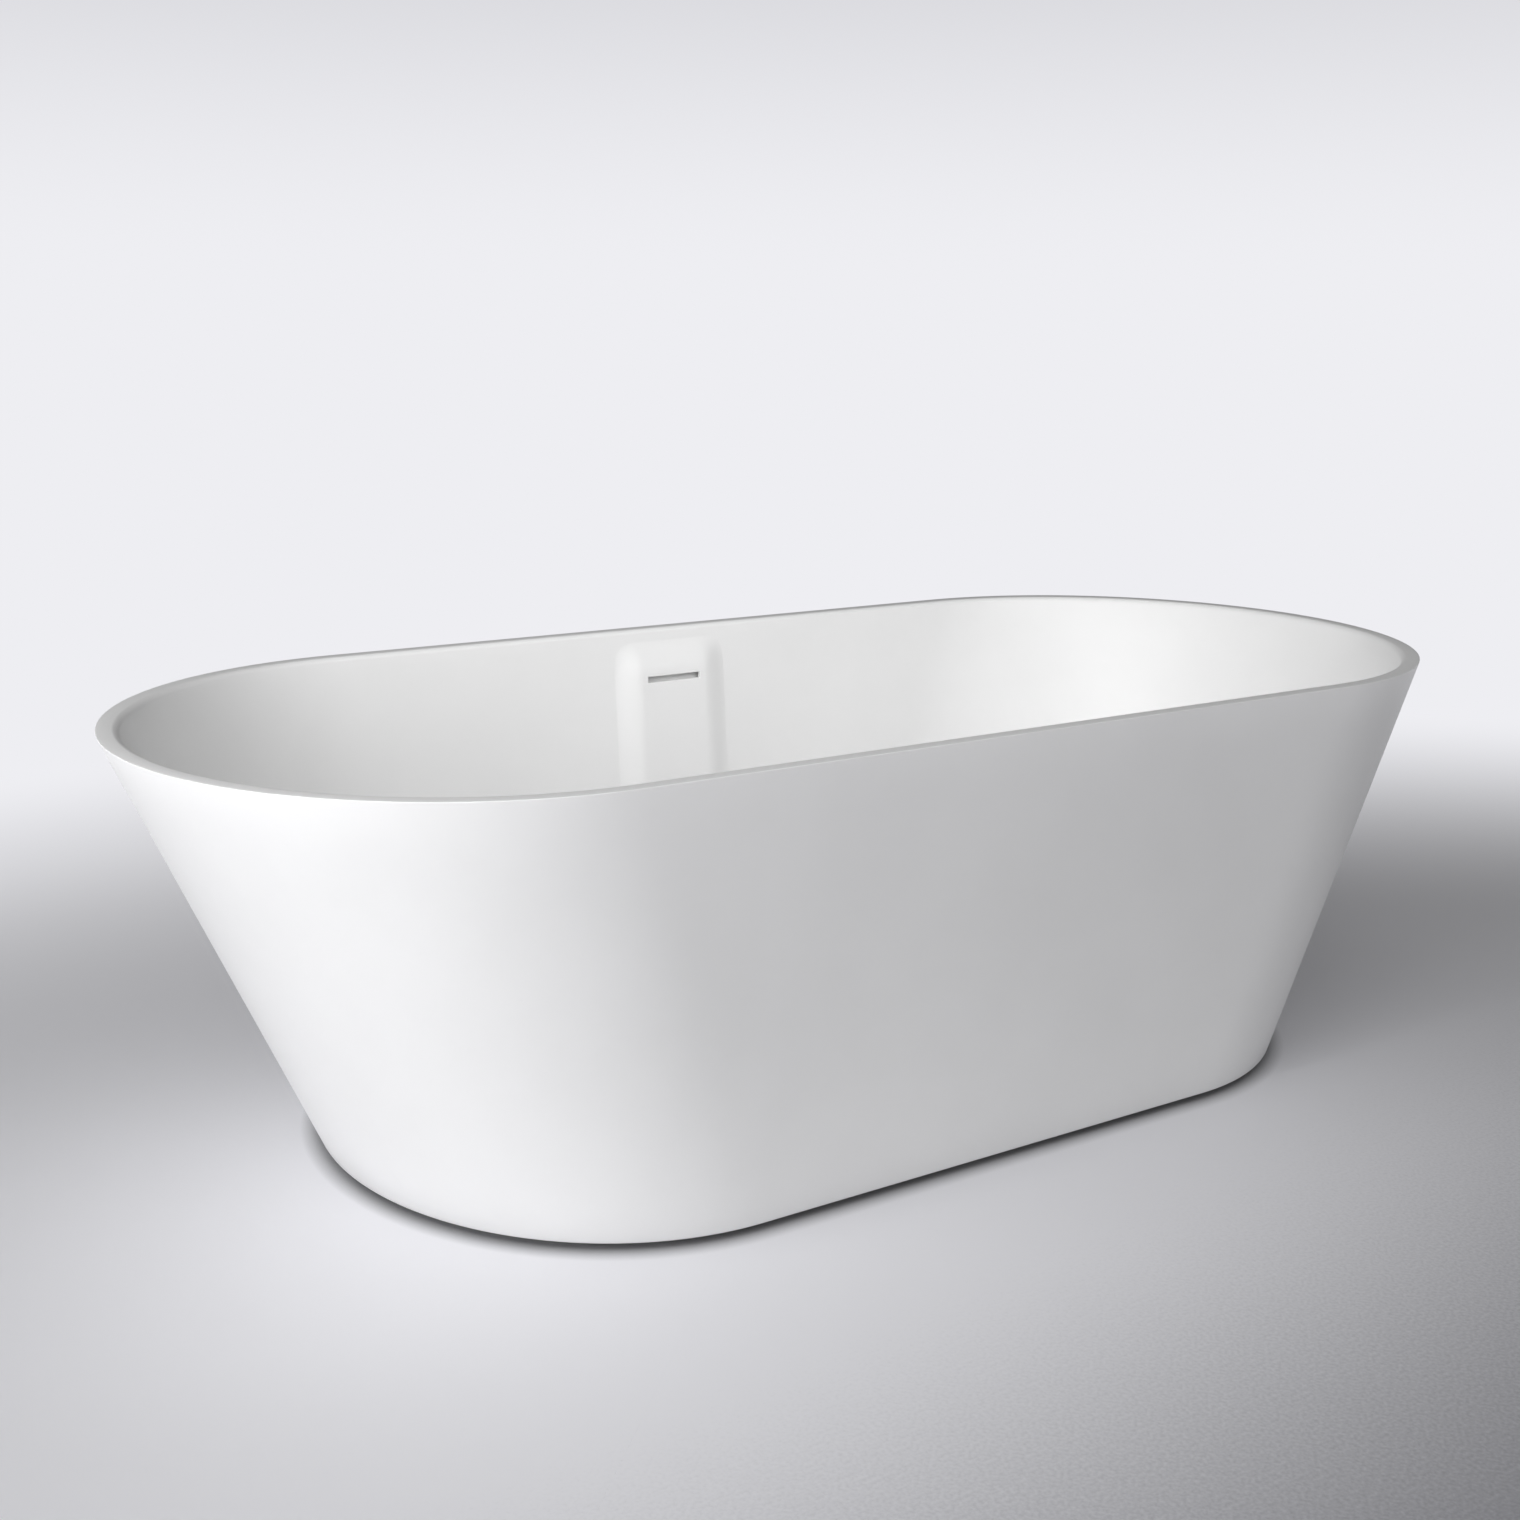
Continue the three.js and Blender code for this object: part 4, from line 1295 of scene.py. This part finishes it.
@dataclass
class LevellingFoot:
    """One adjustable foot: a rubber pad, a threaded stud, a lock nut and the insert in the rail."""

    tag: str
    stud: float = 5.7
    hex_low: float = 8.4
    hex_top: float = 14
    hex_flats: float = 17
    nut_flats: float = 19.05
    pitch: float = 1.75
    thread_depth: float = 0.8
    ball: float = 7
    socket: tuple[float, float] = (7.3, 3.3)
    collar: tuple[float, float] = (13.6, 7.7)
    groove_places: tuple[float, float] = (0.45, 0.72)
    insert_neck: float = 8.7
    insert_flange: float = 2.7

    @property
    def body(self) -> str:
        """Name of the body that slides when this foot is turned."""
        return f"foot_{self.tag}"

    def centre(self) -> Matrix:
        """The foot's place on the floor."""
        low, high = span(f"foot_pad_{self.tag}")
        return at((low.x + high.x) / 2, (low.y + high.y) / 2, 0)

    def pad(self) -> bmesh.types.BMesh:
        """Make the rubber pad, with two grooves under it.

        Returns:
            The closed pad.
        """
        low, high = span(f"foot_pad_{self.tag}")
        outer, top = (high.x - low.x) / 2, high.z
        profile = [(0, 0)]
        for share in self.groove_places:
            start = outer * share
            profile += [(start, 0), (start + 0.8, 0.8), (start + 2.4, 0.8), (start + 3.2, 0)]
        socket, bed = self.socket
        profile += [(outer - 0.8, 0), (outer, 0.8), (outer, 3.2), (outer - 0.7, 3.9), self.collar]
        profile += [(self.collar[0] - 1, top), (socket + 0.5, top), (socket, top - 0.5), (socket, bed),
                    (0, bed)]
        return turned(profile, 72)

    def threaded_stud(self) -> bmesh.types.BMesh:
        """Make the stud: a round end in the pad, a hexagon to turn it by, and the thread above.

        Returns:
            The three shells in one mesh.
        """
        low, high = span(f"foot_stud_{self.tag}")
        end = [(0, low.z), (self.ball - 1, low.z), (self.ball, low.z + 1), (self.ball, self.hex_low),
               (0, self.hex_low)]
        nut = loft(hexagon_rings(self.hex_flats, self.hex_low, self.hex_top, 0.9), caps=True)
        thread = threads(self.stud, self.hex_top, high.z - 1.5, self.pitch, self.thread_depth)
        shank = [(0, self.hex_top - 1), (self.stud, self.hex_top - 1), *thread, (self.stud - 1, high.z),
                 (0, high.z)]
        return merged(turned(end, 48), nut, turned(shank, 40))

    def lock_nut(self) -> bmesh.types.BMesh:
        """The thin nut that locks the stud against the insert."""
        low, high = span(f"foot_lock_nut_{self.tag}")
        return loft(hexagon_rings(self.nut_flats, low.z, high.z, 1.0, self.stud + 0.2), wrap=True)

    def insert(self) -> bmesh.types.BMesh:
        """Make the threaded insert with the flange that bears on the rail.

        Returns:
            The insert about the foot's own axis.
        """
        low, high = span(f"foot_insert_{self.tag}")
        outer, bore, neck = (high.x - low.x) / 2, self.stud + 0.3, self.insert_neck
        seat = low.z + self.insert_flange
        profile = [(bore, low.z), (outer, low.z), (outer, seat), (neck, seat), (neck, high.z), (bore, high.z)]
        return softened(turned(profile, 56), 0.4)

    def dress(self) -> None:
        """Place the foot: pad and stud slide, nut and insert stay with the rail."""
        rows = (
            ("pad", self.pad, "black_rubber", RUBBER, self.body),
            ("stud", self.threaded_stud, "zinc_steel", ZINC, self.body),
            ("lock_nut", self.lock_nut, "zinc_steel", ZINC, TUB_BODY),
            ("insert", self.insert, "zinc_steel", ZINC, TUB_BODY),
        )
        for name, make, slot, finish, body in rows:
            piece = Piece(f"{name}_{self.tag}", slot, (f"foot_{name}_{self.tag}",), body)
            piece.place(move(make(), self.centre()), finish, crease=25)


# ---------------------------------------------------------------- studio


@dataclass(frozen=True)
class Softbox:
    """One rectangular soft light: where it hangs and what it faces, in metres, and its power in watts."""

    name: str
    place: tuple[float, float, float]
    aim: tuple[float, float, float]
    size: tuple[float, float]
    watts: float
    spread_deg: float = 180

    def hang(self) -> None:
        """Add the light to the scene; the camera doesn't see it."""
        data = bpy.data.lights.new(self.name, "AREA")
        data.shape = "RECTANGLE"
        data.size, data.size_y = self.size
        data.energy = self.watts
        data.spread = math.radians(self.spread_deg)
        light = bpy.data.objects.new(self.name, data)
        facing = (Vector(self.aim) - Vector(self.place)).to_track_quat("-Z", "Y")
        light.matrix_world = Matrix.Translation(self.place) @ facing.to_matrix().to_4x4()
        light.visible_camera = False
        bpy.context.scene.collection.objects.link(light)


@dataclass(frozen=True)
class Glow:
    """A broad soft glow of the surround: the way it comes from and its strength."""

    way: tuple[float, float, float]
    strength: float


@dataclass(frozen=True)
class Fade:
    """How the floor turns into the surround: between two distances from a point on it."""

    centre: tuple[float, float, float]
    start: float
    end: float


@dataclass
class Studio:
    """A pale floor that runs into a pale surround, soft lights and the camera."""

    # The camera: its lens and sensor, its place in metres, and its angles in radians.
    lens_mm: float = 44.637
    sensor_mm: float = 36
    eye: tuple[float, float, float] = (-1.28936, -1.84701, 0.91742)
    heading: float = 0.57505
    dip: float = 0.23132
    roll: float = 0.00775
    horizon: str = "EEEEF2"
    zenith: str = "CBCBD0"
    # Painted light and shade on the floor: its colour in the painted pool of light round the tub, and the
    # darker painted shade away from it.
    pool_painted_light: str = "F0F0F4"
    far_painted_shade: str = "99999F"
    # How far, in metres, the painted contact shadow at a foot or a base reaches over the floor.
    painted_shadow_reach: float = 0.022
    floor_size: float = 30
    floor_roughness: float = 0.6
    # The painted pool of light, a pale oval round the tub: its place and size, and the steps from its middle
    # where the painted shade starts and stops getting darker.
    oval_place: tuple[float, float, float] = (0.584, -0.447, 0)
    oval_scale: tuple[float, float, float] = (0.389, 1.228, 1)
    oval_reach: float = 0.4
    oval_turns: tuple[float, float] = (0.49, 0.853)
    # Fine mottling of the trowelled face: grains to a metre, and how much it shifts the shade.
    speck_scale: float = 260
    speck: float = 0.16
    fades: tuple[Fade, Fade] = (Fade((-0.305, -2, 0), 2.445, 4.09), Fade((0.4, 0.3, 0), 1.75, 3.2))
    # How far up the surround its shade turns from the horizon's to the zenith's.
    sky_turns: tuple[float, float] = (0.02, 0.27)
    # The cosine of the angle from a glow's middle at which it has died out.
    glow_edge: float = 0.2
    softboxes: tuple[Softbox, ...] = (
        Softbox("key_left", (-4.2, -0.9, 1.7), (0, 0, 0.3), (2.6, 1.8), 43),
        Softbox("key_rear", (-4.2, 0.6, 1.5), (0, 0, 0.3), (2, 1.6), 16),
        Softbox("bowl_strip", (0.1, -0.42, 0.92), (0.1, 0.5, 0.4), (1.3, 0.25), 1.65, 130),
        Softbox("bowl_left", (-1.5, -0.3, 1.3), (0.3, 0.1, 0.25), (0.8, 0.5), 1.73, 80),
        Softbox("floor_kick", (-1.9, -1.1, 0.9), (-0.6, -0.35, 0.1), (0.8, 0.5), 3.4),
        Softbox("floor_pool", (-1.4, -1.5, 0.8), (-0.6, -0.6, 0), (0.8, 0.5), 0.7, 100),
    )
    glows: tuple[Glow, ...] = (
        Glow((0, -1, 0), 0.4),
        Glow((0, -0.7071, 0.7071), 0.26),
        Glow((-0.693, -0.198, 0.693), 0.38),
    )

    def camera(self) -> None:
        """Set up the camera."""
        ahead = Vector((math.sin(self.heading), math.cos(self.heading), 0))
        forward = ahead * math.cos(self.dip) - Vector((0, 0, math.sin(self.dip)))
        right = Vector((math.cos(self.heading), -math.sin(self.heading), 0))
        level = Matrix((right, right.cross(forward), -forward)).transposed()
        turn = level @ Matrix.Rotation(self.roll, 3, "Z")
        data = bpy.data.cameras.new("camera")
        data.lens, data.sensor_width = self.lens_mm, self.sensor_mm
        camera = bpy.data.objects.new("camera", data)
        camera.matrix_world = Matrix.Translation(self.eye) @ turn.to_4x4()
        bpy.context.scene.collection.objects.link(camera)
        bpy.context.scene.camera = camera

    def floor(self) -> None:
        """Lay the pale floor."""
        bm = bmesh.new()
        bmesh.ops.create_grid(bm, x_segments=1, y_segments=1, size=self.floor_size)
        mesh = bpy.data.meshes.new("studio_floor")
        bm.to_mesh(mesh)
        bm.free()
        mesh.materials.append(self.floor_material())
        floor = bpy.data.objects.new("studio_floor", mesh)
        bpy.context.scene.collection.objects.link(floor)

    def floor_material(self) -> bpy.types.Material:
        """Make the floor's material: a painted pool of light, a pale oval round the tub, with painted shade
        darker away from it.

        Returns:
            The material, which takes on the surround's own brightness far from the tub.
        """
        # Pale screed, trowelled by hand: matt, finely mottled, with a painted contact shadow at whatever
        # stands on it.
        material = bpy.data.materials.new("pale_screed_painted_light_and_shade")
        material.use_nodes = True
        tree = material.node_tree
        tree.nodes.clear()
        place = add_node(tree, "ShaderNodeTexCoord").outputs["Object"]
        oval = add_node(tree, "ShaderNodeMapping",
                        {"Vector": place, "Location": self.oval_place, "Scale": self.oval_scale})
        around = add_node(tree, "ShaderNodeVectorMath", {0: oval.outputs["Vector"]}, operation="LENGTH")
        grain = add_node(tree, "ShaderNodeTexNoise",
                         {"Vector": place, "Scale": self.speck_scale, "Detail": 5.0})
        speck = add_node(tree, "ShaderNodeMath",
                         {0: grain.outputs["Fac"], 1: self.speck, 2: -self.speck / 2},
                         operation="MULTIPLY_ADD")
        mottled = add_node(tree, "ShaderNodeMath",
                           {0: around.outputs["Value"], 1: self.oval_reach, 2: speck.outputs["Value"]},
                           operation="MULTIPLY_ADD")
        # Painted light and shade: this ramp paints the floor pale inside the oval round the tub and darker
        # away from it.
        shade = add_node(tree, "ShaderNodeValToRGB", {"Fac": mottled.outputs["Value"]})
        shade.color_ramp.interpolation = "EASE"
        low, high = shade.color_ramp.elements
        low.position, high.position = self.oval_turns
        low.color, high.color = linear(self.pool_painted_light), linear(self.far_painted_shade)
        # Painted contact shadow: ambient occlusion darkens the floor's colour near whatever stands on it.
        corner = add_node(tree, "ShaderNodeAmbientOcclusion",
                          {"Color": shade.outputs["Color"], "Distance": self.painted_shadow_reach}, samples=12)
        near = add_node(tree, "ShaderNodeBsdfPrincipled",
                        {"Base Color": corner.outputs["Color"], "Roughness": self.floor_roughness})
        far = add_node(tree, "ShaderNodeEmission", {"Color": linear(self.horizon), "Strength": 1.0})
        shares = []
        for fade in self.fades:
            reach = add_node(tree, "ShaderNodeVectorMath", {0: place, 1: fade.centre}, operation="DISTANCE")
            share = add_node(tree, "ShaderNodeMapRange",
                             {"Value": reach.outputs["Value"], "From Min": fade.start, "From Max": fade.end},
                             interpolation_type="SMOOTHSTEP")
            shares.append(share.outputs["Result"])
        most = add_node(tree, "ShaderNodeMath", {0: shares[0], 1: shares[1]}, operation="MAXIMUM")
        mixed = add_node(tree, "ShaderNodeMixShader",
                         {"Fac": most.outputs["Value"], 1: near.outputs["BSDF"], 2: far.outputs["Emission"]})
        add_node(tree, "ShaderNodeOutputMaterial", {"Surface": mixed.outputs["Shader"]})
        return material

    def surround(self) -> None:
        """Make the pale surround, which glows more from some sides than from others."""
        world = bpy.data.worlds.new("surround")
        bpy.context.scene.world = world
        world.use_nodes = True
        tree = world.node_tree
        tree.nodes.clear()
        way = add_node(tree, "ShaderNodeTexCoord").outputs["Generated"]
        total: NodeInput = 0.0
        for glow in self.glows:
            facing = add_node(tree, "ShaderNodeVectorMath", {0: way, 1: glow.way}, operation="DOT_PRODUCT")
            soft = add_node(tree, "ShaderNodeMapRange",
                            {"Value": facing.outputs["Value"], "From Min": self.glow_edge, "From Max": 1.0,
                             "To Min": 0.0, "To Max": glow.strength}, interpolation_type="SMOOTHSTEP")
            total = add_node(tree, "ShaderNodeMath", {0: soft.outputs["Result"], 1: total}).outputs["Value"]
        light = add_node(tree, "ShaderNodeBackground", {"Strength": total})
        height = add_node(tree, "ShaderNodeSeparateXYZ", {"Vector": way}).outputs["Z"]
        shade = add_node(tree, "ShaderNodeValToRGB", {"Fac": height})
        shade.color_ramp.interpolation = "EASE"
        low, high = shade.color_ramp.elements
        low.position, high.position = self.sky_turns
        low.color, high.color = linear(self.horizon), linear(self.zenith)
        seen = add_node(tree, "ShaderNodeBackground", {"Color": shade.outputs["Color"], "Strength": 1.0})
        direct = add_node(tree, "ShaderNodeLightPath").outputs["Is Camera Ray"]
        mixed = add_node(tree, "ShaderNodeMixShader",
                         {"Fac": direct, 1: light.outputs["Background"], 2: seen.outputs["Background"]})
        add_node(tree, "ShaderNodeOutputWorld", {"Surface": mixed.outputs["Shader"]})

    def build(self) -> None:
        """Set up the whole studio."""
        self.camera()
        self.floor()
        self.surround()
        for softbox in self.softboxes:
            softbox.hang()
        bpy.context.scene.view_settings.view_transform = "Standard"


def main() -> None:
    """Build every sub-assembly in order."""
    logging.basicConfig(level=logging.INFO, format="%(name)s: %(message)s")
    Studio().build()
    tub = TubCasting()
    tub.dress()
    OverflowColumn(tub).dress()
    OverflowRun(tub).dress()
    PopUpWaste().dress()
    LowTrap().dress()
    SupportFrame().dress()
    for tag in ("front_left", "front_right", "rear_left", "rear_right"):
        LevellingFoot(tag).dress()


if __name__ == "__main__":
    main()
